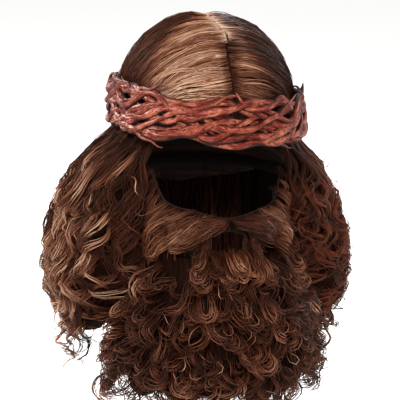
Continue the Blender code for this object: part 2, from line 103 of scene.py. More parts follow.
class Wire:
    """An output of a node, on which Python's operators add Math or Vector Math nodes."""

    def __init__(self, net, socket):
        self.net = net
        self.socket = socket

    def out(self, name):
        """Another output of the same node."""
        node = self.socket.node
        found = [s for s in node.outputs if s.name == name and s.enabled]
        return Wire(self.net, found[0])

    def maths(self, operation, *values, kind="ShaderNodeMath"):
        return self.net.add(kind, {"operation": operation}, dict(enumerate((self, *values))))

    def vector_maths(self, operation, *values):
        return self.maths(operation, *values, kind="ShaderNodeVectorMath")

    def is_vector(self):
        return self.socket.type in ("VECTOR", "RGBA")

    def combine(self, operation, other):
        if self.is_vector() or (isinstance(other, Wire) and other.is_vector()):
            return self.vector_maths(operation, other)
        return self.maths(operation, other)

    def __add__(self, other):
        return self.combine("ADD", other)

    __radd__ = __add__

    def __sub__(self, other):
        return self.combine("SUBTRACT", other)

    def __rsub__(self, other):
        return self.maths("MULTIPLY", -1) + other

    def __mul__(self, other):
        if self.is_vector():
            return self.net.add("ShaderNodeVectorMath", {"operation": "SCALE"}, {0: self, "Scale": other})
        return self.maths("MULTIPLY", other)

    __rmul__ = __mul__

    def __truediv__(self, other):
        return self.maths("DIVIDE", other)

    def __pow__(self, other):
        return self.maths("POWER", other)


class Net:
    """A node tree, and the one way in which nodes are added to it."""

    def __init__(self, tree):
        self.tree = tree

    def add(self, kind, settings=None, sockets=None):
        """Adds a node with its settings, then its sockets' values or wires. Returns its first output."""
        node = self.tree.nodes.new(kind)
        for name, value in (settings or {}).items():
            if name == "stops":
                self.set_stops(node.color_ramp, value)
            else:
                setattr(node, name, value)
        for name, value in (sockets or {}).items():
            socket = self.socket_of(node, name)
            if isinstance(value, Wire):
                self.tree.links.new(value.socket, socket)
            else:
                socket.default_value = value
        shown = [s for s in node.outputs if s.enabled]
        return Wire(self, shown[0]) if shown else node

    def geometry(self, kind, settings=None, **sockets):
        """Adds a geometry node. A socket's name has an underscore for each space."""
        named = {name.replace("_", " "): value for name, value in sockets.items()}
        return self.add("GeometryNode" + kind, settings, named)

    @staticmethod
    def socket_of(node, name):
        shown = [s for s in node.inputs if s.enabled]
        if isinstance(name, int):
            return shown[name]
        return next(s for s in shown if s.name == name)

    @staticmethod
    def set_stops(ramp, stops):
        while len(ramp.elements) < len(stops):
            ramp.elements.new(1.0)
        for element, (place, colour) in zip(ramp.elements, stops):
            element.position = place
            element.color = (*colour, 1)


def share_between(net, value, low, high):
    """0 where a value is under low, 1 where it is over high, and smooth between."""
    settings = {"interpolation_type": "SMOOTHSTEP", "clamp": True}
    return net.add("ShaderNodeMapRange", settings, {"Value": value, "From Min": low, "From Max": high})


def noise_at(net, vector, scale, detail=2.0, distortion=0.0):
    sockets = {"Vector": vector, "Scale": scale, "Detail": detail, "Distortion": distortion}
    return net.add("ShaderNodeTexNoise", {}, sockets)


def joined(net, *parts):
    """A vector of up to three numbers or wires."""
    return net.add("ShaderNodeCombineXYZ", {}, dict(enumerate(parts)))


def split(net, vector):
    return net.add("ShaderNodeSeparateXYZ", {}, {0: vector})


def coordinate(net, name):
    return net.add("ShaderNodeTexCoord").out(name)


def baked_map(net):
    return split(net, net.add("ShaderNodeUVMap", {"uv_map": "OFBake"}))


def colour_between(net, share, low, high):
    ends = [end if isinstance(end, Wire) else (*end, 1) for end in (low, high)]
    return net.add("ShaderNodeMix", {"data_type": "RGBA"}, {"Factor": share, "A": ends[0], "B": ends[1]})


def scaled(colour, factor):
    return tuple(factor * part for part in colour)


def new_material(name, shader_values):
    """A Principled material: its net, its shader node, and itself."""
    made = bpy.data.materials.new(name)
    made.use_nodes = True
    net = Net(made.node_tree)
    shader = made.node_tree.nodes["Principled BSDF"]
    for socket, value in shader_values.items():
        shader.inputs[socket].default_value = value
    return net, shader, made


def finish_surface(net, shader, height=None, strength=0.5, distance=0.001, **links):
    """Links wires to the shader's sockets, and a height to its normal through a Bump node."""
    for name, wire in links.items():
        net.tree.links.new(wire.socket, shader.inputs[name.replace("_", " ")])
    if height is not None:
        bump = net.add("ShaderNodeBump", {}, {"Strength": strength, "Distance": distance, "Height": height})
        net.tree.links.new(bump.socket, shader.inputs["Normal"])


# Hair materials

SHINE = {"Specular IOR Level": 0.17, "Specular Tint": (1.0, 0.64, 0.44, 1)}


def strand_material(name, look, tones):
    """Synthetic hair. Across the map its tones go from darkest to palest, and along it from root to tip."""
    net, shader, made = new_material(name, SHINE)
    tone = baked_map(net)
    along = tone.out("Y")
    mottle = noise_at(net, joined(net, tone * 61.0, along * 9.0), 1.0, 3.0)
    stops = [(k / (len(tones) - 1), colour) for k, colour in enumerate(tones)]
    colour = net.add("ShaderNodeValToRGB", {"stops": stops}, {0: tone + (mottle - 0.5) * 0.22})
    # Warmer towards the tips: partly the fibre's tone, partly a painted glow of light through the ends
    warm_tips_and_glow = colour_between(net, 0.5, colour, look.tip)
    colour = colour_between(net, share_between(net, along, 0.55, 1.0) * 0.45, colour, warm_tips_and_glow)
    finish_surface(net, shader, Base_Color=colour, Roughness=0.42 + mottle * 0.18)
    return made


def mass_material(name, dark, light, lanes_round):
    """The hair under its locks, made dark as painted shade of its depth, with fine wavy streaks running down.
    """
    net, shader, made = new_material(name, {**SHINE, "Specular IOR Level": 0.05, "Roughness": 0.8})
    place = coordinate(net, "Object")
    wander = noise_at(net, place, 30.0, 2.0)
    parts = split(net, place)
    lane = parts.maths("ARCTAN2", parts.out("Y")) * lanes_round + wander * 5.0
    lanes = joined(net, lane, parts.out("Z") * 11.0)
    streak = noise_at(net, lanes, 1.6, 3.0)
    fine = noise_at(net, lanes, 6.0, 2.0)
    share = share_between(net, streak * 0.6 + fine * 0.4, 0.40, 0.66)
    colour = colour_between(net, share, dark, light)
    finish_surface(net, shader, fine + streak, 1.0, 0.003, Base_Color=colour)
    return made


# Materials of the crown, the cap and the beard's base

# How long a twig's row of the map is, how far the grain moves from row to row, the grain's length and scale,
# and the radius from which the grooves have their full depth
TWIG_LENGTH = 0.62
ROW_SHIFT = 0.37
TWIG_RUN = 0.022
TWIG_GRAIN = 1.35
FULL_BARK = 0.004

# The cap's radius for patterns that run round it, and the pitches of the net, the wefts and their stitches
CAP_RADIUS = 0.085
NET_SLANT = 0.8
NET_PITCH = 0.0034
WEFT_PITCH = 0.0125
STITCH_PITCH = 0.0044
STITCH_HEIGHT = 0.0036
STITCH_LINE = 0.0022


def grooves_at(net, run, around):
    """How far bark stands up, from 0 in its grooves to 1, by the length run and the turn around the twig."""
    turned = around * TURN
    place = joined(net, turned.maths("COSINE"), turned.maths("SINE"), run / TWIG_RUN)
    ridge = (noise_at(net, place, TWIG_GRAIN, 3.0, 0.8) - 0.5).maths("ABSOLUTE")
    fine = (noise_at(net, place, TWIG_GRAIN * 2.6, 2.0, 0.4) - 0.5).maths("ABSOLUTE")
    return share_between(net, ridge, 0.0, 0.075) * (0.55 + 0.45 * share_between(net, fine, 0.0, 0.07))


def bark_material(look, rows):
    """Painted bark: red on what faces out and up, brown on the flanks, a dark wash in the grooves and painted
    shade inside. The split by facing is partly painted light, and a pale painted glare lies on the set's
    right end.
    """
    shine = {"Specular IOR Level": 0.12, "Specular Tint": (1.0, 0.62, 0.52, 1)}
    net, shader, made = new_material("painted bark", shine)
    place = coordinate(net, "Object")
    face = coordinate(net, "Normal")
    level = place.vector_maths("MULTIPLY", (1.0, 0.72, 0.0)).vector_maths("NORMALIZE")
    outward = face.vector_maths("DOT_PRODUCT", level).out("Value")
    rise = split(net, face).out("Z")
    row = baked_map(net)
    lane = row.out("Y") * rows
    bark = grooves_at(net, row * TWIG_LENGTH + lane.maths("FLOOR") * ROW_SHIFT, lane.maths("FRACT"))
    patch = noise_at(net, place, 48.0, 4.0, 0.6)
    speck = noise_at(net, place, 420.0, 2.0)
    # Faces turned out and up get the red, faces turned in and down the brown: partly the paint, partly
    # painted light and shade
    facing = outward + rise * 0.30
    crest = share_between(net, facing + (patch - 0.5), 0.45, 1.00)
    paint = colour_between(net, crest, look.brown, look.red)
    orange = share_between(net, patch + (speck - 0.5) * 0.4, 0.48, 0.70) * crest * 0.8
    paint = colour_between(net, orange, paint, look.orange)
    # Painted glare: pale on the upward ridges of the set's right end stands in for a highlight. Elsewhere the
    # pale is a thin dry brushing.
    glare_at_right_end = share_between(net, split(net, place) * -1.0, 0.052, 0.092)
    upward = share_between(net, rise, -0.1, 0.7)
    ridges = share_between(net, bark + (patch - 0.5) * 0.8, 0.75, 1.05)
    paint = colour_between(net, ridges * crest * (0.06 + 0.75 * glare_at_right_end * upward), paint, look.pale)
    # The dark wash in the grooves, and painted shade on faces turned in and down
    wash_and_shade = (0.30 + 0.70 * bark) * share_between(net, facing, 0.0, 0.72)
    colour = colour_between(net, wash_and_shade, look.dark, paint)
    gloss = 0.36 + 0.40 * (1 - wash_and_shade) + speck * 0.14
    finish_surface(net, shader, bark + speck * 0.10, 0.5, 0.0006, Base_Color=colour, Roughness=gloss)
    return made


def ribs(net, value, pitch):
    """A wave from 0 to 1 that repeats at each pitch of a value."""
    return 0.5 + 0.5 * (value * (TURN / pitch)).maths("SINE")


def wrapped(net):
    """The way round the set and the height, as lengths."""
    parts = split(net, coordinate(net, "Object"))
    return parts.maths("ARCTAN2", parts.out("Y")) * CAP_RADIUS, parts.out("Z")


def cap_material(look):
    """A knitted net with rows of sewn wefts round it, each with a zigzag stitch."""
    net, shader, made = new_material("cap net", {"Roughness": 0.8, "Specular IOR Level": 0.2})
    across, height = wrapped(net)
    threads = [ribs(net, across + height * slant, NET_PITCH) for slant in (NET_SLANT, -NET_SLANT)]
    mesh = share_between(net, threads[0].maths("MAXIMUM", threads[1]), 0.45, 0.9)
    weft = share_between(net, ribs(net, height, WEFT_PITCH), 0.66, 0.80)
    zigzag = ((across / STITCH_PITCH).maths("FRACT") - 0.5).maths("ABSOLUTE") * STITCH_HEIGHT
    away = (height / WEFT_PITCH).maths("FRACT") * WEFT_PITCH - STITCH_LINE - zigzag
    stitch = 1 - share_between(net, away.maths("ABSOLUTE"), 0.0003, 0.0007)
    cloth = colour_between(net, mesh, scaled(look.lace, 0.35), look.lace)
    cloth = colour_between(net, weft * 0.8, cloth, look.middle)
    cloth = colour_between(net, stitch * weft, cloth, scaled(look.lace, 1.8))
    finish_surface(net, shader, mesh * 0.5 + weft + stitch * 0.4, 0.8, 0.0012, Base_Color=cloth)
    return made


def knit_material(name, colour, pitch):
    """A fine woven fabric: ribs that run down, broken by stitches across."""
    net, shader, made = new_material(name, {"Roughness": 0.9, "Specular IOR Level": 0.06})
    across, height = wrapped(net)
    weave = ribs(net, across, pitch) * 0.6 + ribs(net, height, pitch) * 0.4
    tint = colour_between(net, weave, scaled(colour, 0.45), scaled(colour, 1.5))
    finish_surface(net, shader, weave, 0.7, 0.0006, Base_Color=tint)
    return made


# Surfaces to lay locks on, read from the frame


def frame_tree(nodes):
    """One search tree for the triangles of several of the frame's nodes."""
    corners, faces = [], []
    for node in nodes:
        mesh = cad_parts[node].data
        start = len(corners)
        corners.extend(v.co.copy() for v in mesh.vertices)
        faces.extend([start + k for k in polygon.vertices] for polygon in mesh.polygons)
    return BVHTree.FromPolygons(corners, faces)


def nearest_columns(known, count):
    """The nearest known column to each of count columns, round the table."""
    apart = np.abs(np.arange(count)[:, None] - known[None])
    return known[np.minimum(apart, count - apart).argmin(axis=1)]


def between(table, row, column):
    """A table's values between its rows and round its columns, at arrays of places."""
    c, r = np.floor(column).astype(int), np.floor(row).astype(int)
    u, v = column - c, row - r
    c0, c1 = c % table.shape[1], (c + 1) % table.shape[1]
    above = table[r, c0] * (1 - u) + table[r, c1] * u
    below = table[r + 1, c0] * (1 - u) + table[r + 1, c1] * u
    return above * (1 - v) + below * v


def filled(table):
    """The table with its gaps closed from the row above, then from the nearest column that has a value."""
    for row in range(1, len(table)):
        gap = np.isnan(table[row])
        table[row, gap] = table[row - 1, gap]
    for row in range(len(table) - 2, -1, -1):
        gap = np.isnan(table[row])
        table[row, gap] = table[row + 1, gap]
    return table[:, nearest_columns(np.flatnonzero(~np.isnan(table[0])), table.shape[1])]


def softened(table):
    """The table with neighbouring values averaged, round its columns and down its rows."""
    sides = (np.roll(table, 1, axis=1) + np.roll(table, -1, axis=1)) / 2
    padded = np.vstack((table[:1], table, table[-1:]))
    return (2 * table + sides + (padded[:-2] + padded[2:]) / 2) / 4


class Wall:
    """The outer or inner face of upright hair, as a radius at each angle and height."""

    COLUMNS = 180
    STEP = 0.004

    def __init__(self, nodes, top, bottom, inner=False):
        tree = frame_tree(nodes)
        self.top = top
        self.rows = int((top - bottom) / self.STEP) + 1
        table = np.full((self.rows, self.COLUMNS), np.nan)
        for row in range(self.rows):
            height = top - row * self.STEP
            for column in range(self.COLUMNS):
                angle = TURN * column / self.COLUMNS
                out = Vector((math.sin(angle), -math.cos(angle), 0))
                start = Vector((0, 0, height))
                if inner:
                    hit = tree.ray_cast(start, out, FAR)[0]
                else:
                    hit = tree.ray_cast(start + out * FAR, -out, FAR)[0]
                if hit is not None:
                    table[row, column] = math.hypot(hit.x, hit.y)
        seen = ~np.isnan(table)
        nearest = nearest_columns(np.flatnonzero(seen.any(axis=0)), self.COLUMNS)
        self.edges = {
            "top": (top - seen.argmax(axis=0) * self.STEP)[nearest],
            "bottom": (top - (self.rows - 1 - seen[::-1].argmax(axis=0)) * self.STEP)[nearest],
        }
        self.table = softened(filled(table))

    def edge(self, angle, which):
        """The height at which the hair starts or ends, at each of an array of angles."""
        return self.edges[which][np.round(angle / TURN * self.COLUMNS).astype(int) % self.COLUMNS]

    def radius(self, angle, height):
        """The radius at arrays of angles and heights, between the table's values."""
        column = np.mod(angle / TURN, 1.0) * self.COLUMNS
        row = np.clip((self.top - height) / self.STEP, 0, self.rows - 1.001)
        return between(self.table, row, column)

    def place(self, angle, height, lift):
        radius = self.radius(angle, height) + lift
        return np.stack((radius * np.sin(angle), -radius * np.cos(angle), height), axis=-1)


class Dome:
    """The outer face of the hair on top, as distances from a centre inside it."""

    COLUMNS = 120
    ROWS = 48
    DEEPEST = math.radians(112)

    def __init__(self, nodes):
        tree = frame_tree(nodes)
        table = np.full((self.ROWS, self.COLUMNS), np.nan)
        for row in range(self.ROWS):
            tilt = self.DEEPEST * row / (self.ROWS - 1)
            for column in range(self.COLUMNS):
                angle = TURN * column / self.COLUMNS
                out = Vector(
                    (math.sin(angle) * math.sin(tilt), -math.cos(angle) * math.sin(tilt), math.cos(tilt))
                )
                hit = tree.ray_cast(DOME_CENTRE + out * FAR, -out, FAR)[0]
                if hit is not None:
                    table[row, column] = (hit - DOME_CENTRE).length
        self.table = softened(filled(table))

    def place(self, points, lift):
        """Points moved along rays from the centre to the surface and out by lift, with those rays."""
        rays = points - np.array(DOME_CENTRE)
        rays /= np.linalg.norm(rays, axis=-1, keepdims=True)
        column = np.mod(np.arctan2(rays[..., 0], -rays[..., 1]) / TURN, 1.0) * self.COLUMNS
        row = np.arccos(np.clip(rays[..., 2], -1, 1)) / self.DEEPEST * (self.ROWS - 1)
        row = np.clip(row, 0, self.ROWS - 1.001)
        reach = between(self.table, row, column) + lift
        return np.array(DOME_CENTRE) + rays * reach[..., None], rays


# Chains of points, and the geometry nodes that turn them into strands and twigs


def placed(name, data):
    """A new object in the scene."""
    made = bpy.data.objects.new(name, data)
    bpy.context.scene.collection.objects.link(made)
    return made


def chain_object(name, groups):
    """A mesh with a chain of edges for each line of each group. Other arrays become attributes."""
    points = np.concatenate([group["points"].reshape(-1, 3) for group in groups])
    mesh = bpy.data.meshes.new(name)
    mesh.vertices.add(len(points))
    mesh.vertices.foreach_set("co", points.astype(np.float32).ravel())
    edges, start = [], 0
    for group in groups:
        count, steps = group["points"].shape[:2]
        first = start + (np.arange(count)[:, None] * steps + np.arange(steps - 1)).ravel()
        edges.append(np.stack((first, first + 1), axis=1))
        start += count * steps
        share = np.linspace(0, 1, steps)[None]
        length = np.linalg.norm(np.diff(group["points"], axis=1), axis=2).sum(axis=1)
        group["along"] = share
        group["run"] = share * length[:, None]
    edges = np.concatenate(edges)
    mesh.edges.add(len(edges))
    mesh.edges.foreach_set("vertices", edges.astype(np.int32).ravel())
    for key in groups[0]:
        if key == "points":
            continue
        vector = key == "outward"
        whole = []
        for group in groups:
            shape = group["points"].shape if vector else group["points"].shape[:2]
            whole.append(np.broadcast_to(group[key], shape).astype(np.float32).ravel())
        data = mesh.attributes.new(key, "FLOAT_VECTOR" if vector else "FLOAT", "POINT").data
        data.foreach_set("vector" if vector else "value", np.concatenate(whole))
    return placed(name, mesh)


def new_tree(name, floats):
    """A geometry tree with named inputs: the tree, its net, its group input and its inputs' identifiers."""
    tree = bpy.data.node_groups.new(name, "GeometryNodeTree")
    kinds = {"Chains": "Geometry", **dict.fromkeys(floats, "Float"), "Seed": "Int", "Material": "Material"}
    names = {
        key: tree.interface.new_socket(key, in_out="INPUT", socket_type="NodeSocket" + kind).identifier
        for key, kind in kinds.items()
    }
    tree.interface.new_socket("Result", in_out="OUTPUT", socket_type="NodeSocketGeometry")
    net = Net(tree)
    return tree, net, net.add("NodeGroupInput"), names


def attribute(net, name, kind="FLOAT"):
    return net.geometry("InputNamedAttribute", {"data_type": kind}, Name=name)


def store(net, geometry, name, value, kind="FLOAT", domain="POINT"):
    settings = {"data_type": kind, "domain": domain}
    return net.geometry("StoreNamedAttribute", settings, Geometry=geometry, Name=name, Value=value)


def finish_tree(net, given, geometry, names):
    """Removes the helping attributes, makes one mesh, gives it its material and ends the tree."""
    for name in names:
        geometry = net.geometry("RemoveAttribute", Geometry=geometry, Name=name)
    whole = net.geometry("RealizeInstances", Geometry=geometry)
    finished = net.geometry("SetMaterial", Geometry=whole, Material=given.out("Material"))
    net.add("NodeGroupOutput", {}, {0: finished})


# How strands lie in their lock, and the inputs of their tree that say so
Style = namedtuple("Style", "flatness frizz frizz_length shortening tone_range")
STYLE_INPUTS = ("Flatness", "Frizz", "Frizz Length", "Shortening", "Tone Range")


def strand_tree():
    """Geometry nodes that turn each chain into a lock of tapered strands. Returns the tree and its inputs."""
    tree, net, given, names = new_tree("strands of a lock", STYLE_INPUTS)

    def strand_random(step, low=0.0, high=1.0):
        """A value that is the same all along a strand."""
        index = net.geometry("InputIndex")
        sockets = {"Min": low, "Max": high, "ID": index, "Seed": given.out("Seed") + step}
        value = net.add("FunctionNodeRandomValue", {"data_type": "FLOAT"}, sockets)
        return net.geometry("FieldOnDomain", {"domain": "CURVE", "data_type": "FLOAT"}, Value=value)

    lines = net.geometry("MeshToCurve", Mesh=given)
    amount = attribute(net, "strands") + 0.5
    copies = net.geometry("DuplicateElements", {"domain": "SPLINE"}, Geometry=lines, Amount=amount)
    tangent = net.geometry("InputTangent")
    outward = attribute(net, "outward", "FLOAT_VECTOR")
    across = tangent.vector_maths("CROSS_PRODUCT", outward).vector_maths("NORMALIZE")
    out = across.vector_maths("CROSS_PRODUCT", tangent)
    turn = strand_random(1, 0.0, TURN)
    reach = strand_random(2).maths("SQRT") * attribute(net, "spread")
    offset = across * (turn.maths("COSINE") * reach)
    offset = offset + out * (turn.maths("SINE") * reach * given.out("Flatness"))
    waves = attribute(net, "run") / given.out("Frizz Length") * TURN * strand_random(3, 0.7, 1.3)
    frizz = given.out("Frizz") * (0.25 + attribute(net, "along"))
    offset = offset + across * ((waves + strand_random(4, 0.0, TURN)).maths("SINE") * frizz)
    offset = offset + out * ((waves + strand_random(5, 0.0, TURN)).maths("COSINE") * frizz)
    moved = net.geometry("SetPosition", Geometry=copies, Offset=offset)
    toned = attribute(net, "tone") + (strand_random(6) - 0.5) * given.out("Tone Range")
    moved = store(net, moved, "tone", toned.maths("MAXIMUM", 0).maths("MINIMUM", 1))
    end = 1 - strand_random(7) * given.out("Shortening")
    trimmed = net.geometry("TrimCurve", {"mode": "FACTOR"}, Curve=moved, End=end)
    factor = net.geometry("SplineParameter")
    taper = (0.45 + 0.55 * share_between(net, factor, 0.0, 0.12)) * (1 - 0.85 * factor**3)
    scale = attribute(net, "width") * 0.5 * taper * strand_random(8, 0.7, 1.25)
    ring = net.geometry("CurvePrimitiveCircle", Resolution=3, Radius=1.0)
    ring = store(net, ring, "around", net.geometry("SplineParameter"))
    tubes = net.geometry("CurveToMesh", Curve=trimmed, Profile_Curve=ring, Scale=scale, Fill_Caps=True)
    tubes = net.geometry("SetShadeSmooth", Geometry=tubes)
    around = attribute(net, "around")
    u = 0.005 + attribute(net, "tone") * 0.965 + around * 0.03
    v = 0.02 + attribute(net, "along") * 0.92 + around * 0.04
    mapped = store(net, tubes, "OFBake", joined(net, u, v), "FLOAT2", "CORNER")
    helpers = ("along", "spread", "tone", "run", "outward", "around", "strands", "width")
    finish_tree(net, given, mapped, helpers)
    return tree, names


def twig_tree():
    """Geometry nodes that wrap each chain in grooved bark, each on its own row of the map."""
    tree, net, given, names = new_tree("bark of a twig", ("Sides", "Bark Depth", "Rows"))
    lines = net.geometry("MeshToCurve", Mesh=given)
    lines = store(net, lines, "centre", net.geometry("InputPosition"), "FLOAT_VECTOR")
    sides = given.out("Sides") + 1
    ring = net.geometry("CurveArc", Resolution=sides, Radius=1.0, Sweep_Angle=TURN)
    ring = store(net, ring, "around", net.geometry("SplineParameter"))
    radius = attribute(net, "radius")
    tubes = net.geometry("CurveToMesh", Curve=lines, Profile_Curve=ring, Scale=radius)
    place = net.geometry("InputPosition")
    away = place - attribute(net, "centre", "FLOAT_VECTOR")
    row = attribute(net, "row")
    start = row * ROW_SHIFT + given.out("Seed")
    bark = grooves_at(net, attribute(net, "along") * TWIG_LENGTH + start, attribute(net, "around"))
    size = given.out("Bark Depth") * (radius / FULL_BARK).maths("MINIMUM", 1.0)
    offset = away.vector_maths("NORMALIZE") * ((bark - 0.7) * size)
    moved = net.geometry("SetPosition", Geometry=tubes, Offset=offset)
    moved = net.geometry("SetShadeSmooth", Geometry=moved)
    v = (row + 0.04 + attribute(net, "around") * 0.92) / given.out("Rows")
    u = 0.003 + attribute(net, "along") * 0.994
    mapped = store(net, moved, "OFBake", joined(net, u, v), "FLOAT2", "CORNER")
    finish_tree(net, given, mapped, ("along", "run", "radius", "row", "around", "centre"))
    return tree, names


TREES = {}


def grown(name, groups, maker, values):
    """The plain mesh that a geometry tree makes of groups of chains."""
    if maker.__name__ not in TREES:
        TREES[maker.__name__] = maker()
    tree, names = TREES[maker.__name__]
    source = chain_object(name + "_chains", groups)
    modifier = source.modifiers.new("nodes", "NODES")
    modifier.node_group = tree
    for key, value in values.items():
        modifier[names[key]] = value
    bpy.context.view_layer.update()
    graph = bpy.context.evaluated_depsgraph_get()
    mesh = bpy.data.meshes.new_from_object(source.evaluated_get(graph))
    mesh.name = name
    base = source.data
    bpy.data.objects.remove(source)
    bpy.data.meshes.remove(base)
    made = placed(name, mesh)
    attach(made, BODY)
    return made


def make_hair(name, groups, style, material, seed):
    """A piece of hair: its locks' chains, turned into strands and then into one plain mesh."""
    values = dict(zip(STYLE_INPUTS, style))
    values.update({"Seed": seed, "Material": material})
    made = grown(name, groups, strand_tree, values)


def piece_from(node, name, material, inset=0.0, smooth=0.5):
    """The body of a piece: a copy of the frame's solid, merged, smoothed and drawn in a little."""
    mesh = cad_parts[node].data.copy()
    mesh.name = name
    bm = bmesh.new()
    bm.from_mesh(mesh)
    bmesh.ops.remove_doubles(bm, verts=bm.verts, dist=1e-6)
    bmesh.ops.subdivide_edges(bm, edges=bm.edges, cuts=1, use_grid_fill=True)
    axes = {"use_axis_x": True, "use_axis_y": True, "use_axis_z": True}
    bmesh.ops.smooth_vert(bm, verts=bm.verts, factor=smooth, **axes)
    bm.normal_update()
    for vert in bm.verts:
        vert.co -= vert.normal * inset
    bm.to_mesh(mesh)
    bm.free()
    mesh.shade_smooth()
    mesh.materials.clear()
    mesh.materials.append(material)
    made = placed(name, mesh)
    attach(made, BODY)
    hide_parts(node)


# How locks lie


def eased(x):
    x = np.clip(x, 0, 1)
    return x * x * (3 - 2 * x)


def spaced(low, high, count, draw):
    """Values spread evenly between two ends with some chance in them, in a mixed order."""
    return draw.permutation(low + (high - low) * (np.arange(count) + draw.random(count)) / count)


def varied(draw, low, high, count):
    """A value between low and high for each of count locks, as a column."""
    return (low + (high - low) * draw.random(count))[:, None]


# What a lock does on its way: its strands and their share of the set width, its points, the length and swing
# of its waves, how far its end turns and from which share of its length on, how far it stands off the wall at
# least and at most, how much more in its middle and on its crests and less at its root, its half width, and
# how much lighter its crests are painted, a painted highlight
Run = namedtuple("Run", "strands thick steps wave swing curl curl_start low high arch rise root spread shine")
RUNS = {
    "long": Run(10, 1.0, 23, 0.056, 0.72, 2.6, 0.74, -0.003, 0.005, 0.002, 0.0050, 0.010, 0.0062, 0.26),
    "long left": Run(10, 1.0, 23, 0.044, 0.92, 2.6, 0.74, -0.003, 0.005, 0.002, 0.0056, 0.010, 0.0062, 0.26),
    "inner": Run(7, 1.0, 13, 0.070, 0.30, 0.8, 0.7, -0.0035, -0.0015, 0.0, 0.0010, -0.002, 0.0075, 0.10),
    "front edge": Run(9, 1.0, 21, 0.050, 0.55, 2.4, 0.7, -0.002, 0.003, 0.002, 0.0040, 0.008, 0.0055, 0.12),
    "lower": Run(9, 1.0, 17, 0.040, 0.85, 3.4, 0.35, -0.003, 0.004, 0.005, 0.0050, 0.010, 0.0060, 0.16),
    "loose": Run(6, 1.1, 23, 0.042, 1.20, 4.2, 0.50, -0.008, 0.004, 0.002, 0.0075, 0.004, 0.0026, 0.16),
    "stray": Run(2, 0.9, 17, 0.034, 0.9, 4.8, 0.30, 0.001, 0.005, 0.003, 0.0075, 0.010, 0.0016, 0.1),
    "beard curl": Run(8, 1.0, 13, 0.036, 0.50, 4.2, 0.12, -0.005, 0.003, 0.0065, 0.0034, 0.010, 0.0064, 0.10),
    "chin tuft": Run(8, 1.0, 13, 0.034, 0.60, 3.6, 0.25, 0.000, 0.003, 0.004, 0.0024, 0.001, 0.0050, 0.12),
    "beard stray": Run(1, 0.8, 15, 0.030, 0.9, 4.2, 0.3, 0.001, 0.004, 0.003, 0.0055, 0.010, 0.0016, 0.1),
    "swept": Run(6, 0.9, 13, 0.058, 0.22, 2.0, 0.62, -0.0002, 0.0030, 0.0022, 0.0014, 0.0035, 0.0042, 0.08),
    "lip fringe": Run(6, 0.9, 12, 0.060, 0.12, 0.9, 0.5, 0.0004, 0.0032, 0.0020, 0.0010, 0.004, 0.0032, 0.06),
    "corner": Run(6, 0.9, 12, 0.040, 0.25, 2.0, 0.4, 0.0006, 0.0034, 0.0026, 0.0016, 0.003, 0.0036, 0.08),
}

# A lock's tone grows with how far it stands off over a usual stand, up to the palest: painted light on raised
# locks and painted shade on sunken ones. Its root is darker, a painted shade.
TONE_PER_STAND = 28.0
USUAL_STAND = 0.0035
PALEST = 0.76
ROOT_SHADE = 0.14


def walked(wall, run, width, draw, angle, height, heading, length, tone):
    """Locks that walk over a wall of hair. Heading is 0 straight down and grows with the angle."""
    count = len(angle)
    share = np.linspace(0, 1, run.steps)[None]
    length = length * draw.uniform(0.85, 1.15, count)
    wave = run.wave * varied(draw, 0.8, 1.25, count)
    hand = np.where(draw.random(count) < 0.5, -1.0, 1.0)[:, None]
    turn = TURN * share * length[:, None] / wave + varied(draw, 0, TURN, count)
    grown_share = 0.35 + 0.65 * eased(share / 0.45)
    headings = np.broadcast_to(np.reshape(heading, (-1, 1)), (count, run.steps))
    headings = headings + run.swing * varied(draw, 0.6, 1.3, count) * grown_share * np.sin(turn)
    late = np.clip((share - run.curl_start) / (1 - run.curl_start), 0, 1)
    headings = headings + hand * run.curl * varied(draw, 0.4, 1.2, count) * late**1.4
    crest = grown_share * hand * np.sin(turn)
    stand = varied(draw, run.low, run.high, count) + run.arch * np.sin(math.pi * share) + run.rise * crest
    lifts = stand - run.root * (1 - eased(share / 0.14))
    stride = length / (run.steps - 1)
    angles = np.empty((count, run.steps))
    heights = np.empty((count, run.steps))
    angles[:, 0], heights[:, 0] = angle, height
    for k in range(1, run.steps):
        radius = np.maximum(wall.radius(angles[:, k - 1], heights[:, k - 1]), 0.03)
        angles[:, k] = angles[:, k - 1] + np.sin(headings[:, k - 1]) * stride / radius
        heights[:, k] = heights[:, k - 1] - np.cos(headings[:, k - 1]) * stride
    spread = run.spread * (0.5 + 0.5 * eased(share / 0.25)) * (1 - 0.8 * eased((share - 0.45) / 0.55))
    # Painted light in the tones: lighter crests, darker roots, lighter or darker by how far the lock stands
    # off
    tones = np.reshape(tone, (-1, 1)) + run.shine * crest - ROOT_SHADE * (1 - eased(share / 0.2))
    tones = np.minimum(tones + TONE_PER_STAND * (stand - USUAL_STAND), PALEST)
    return {
        "points": wall.place(angles, heights, lifts),
        "outward": np.stack((np.sin(angles), -np.cos(angles), np.zeros_like(angles)), axis=-1),
        "spread": spread * varied(draw, 0.7, 1.3, count),
        "tone": tones,
        "strands": run.strands,
        "width": width * run.thick,
    }


# The sizes and colours that a user would change


def length_setting(name, description, length):
    return FloatProperty(name=name, description=description, default=length, subtype="DISTANCE")


def colour_setting(name, description, colour):
    return FloatVectorProperty(name=name, description=description, default=colour, subtype="COLOR")


class HairSettings(bpy.types.PropertyGroup):
    strand_width: length_setting("Strand width", "Width of a wisp of fibres", 0.00095)
    seed: IntProperty(name="Seed", description="Changes how the locks fall", default=7)
    shadow: colour_setting("Shadow", "Hair deep inside", (0.0028, 0.0009, 0.0006))
    dark: colour_setting("Dark", "Darkest locks", (0.0120, 0.0026, 0.0013))
    middle: colour_setting("Middle", "Most locks", (0.0480, 0.0118, 0.0056))
    light: colour_setting("Light", "Light locks", (0.190, 0.076, 0.040))
    pale: colour_setting("Pale", "Palest streaks", (0.540, 0.360, 0.245))
    red: colour_setting("Red", "Reddish outer curls", (0.084, 0.0160, 0.0068))
    # Tip: partly the fibres' warm ends, partly a painted glow of light through them
    tip: colour_setting("Tip", "Warm tone of the ends", (0.150, 0.044, 0.016))
    lace: colour_setting("Lace", "Net of the cap and base", (0.014, 0.0080, 0.0060))


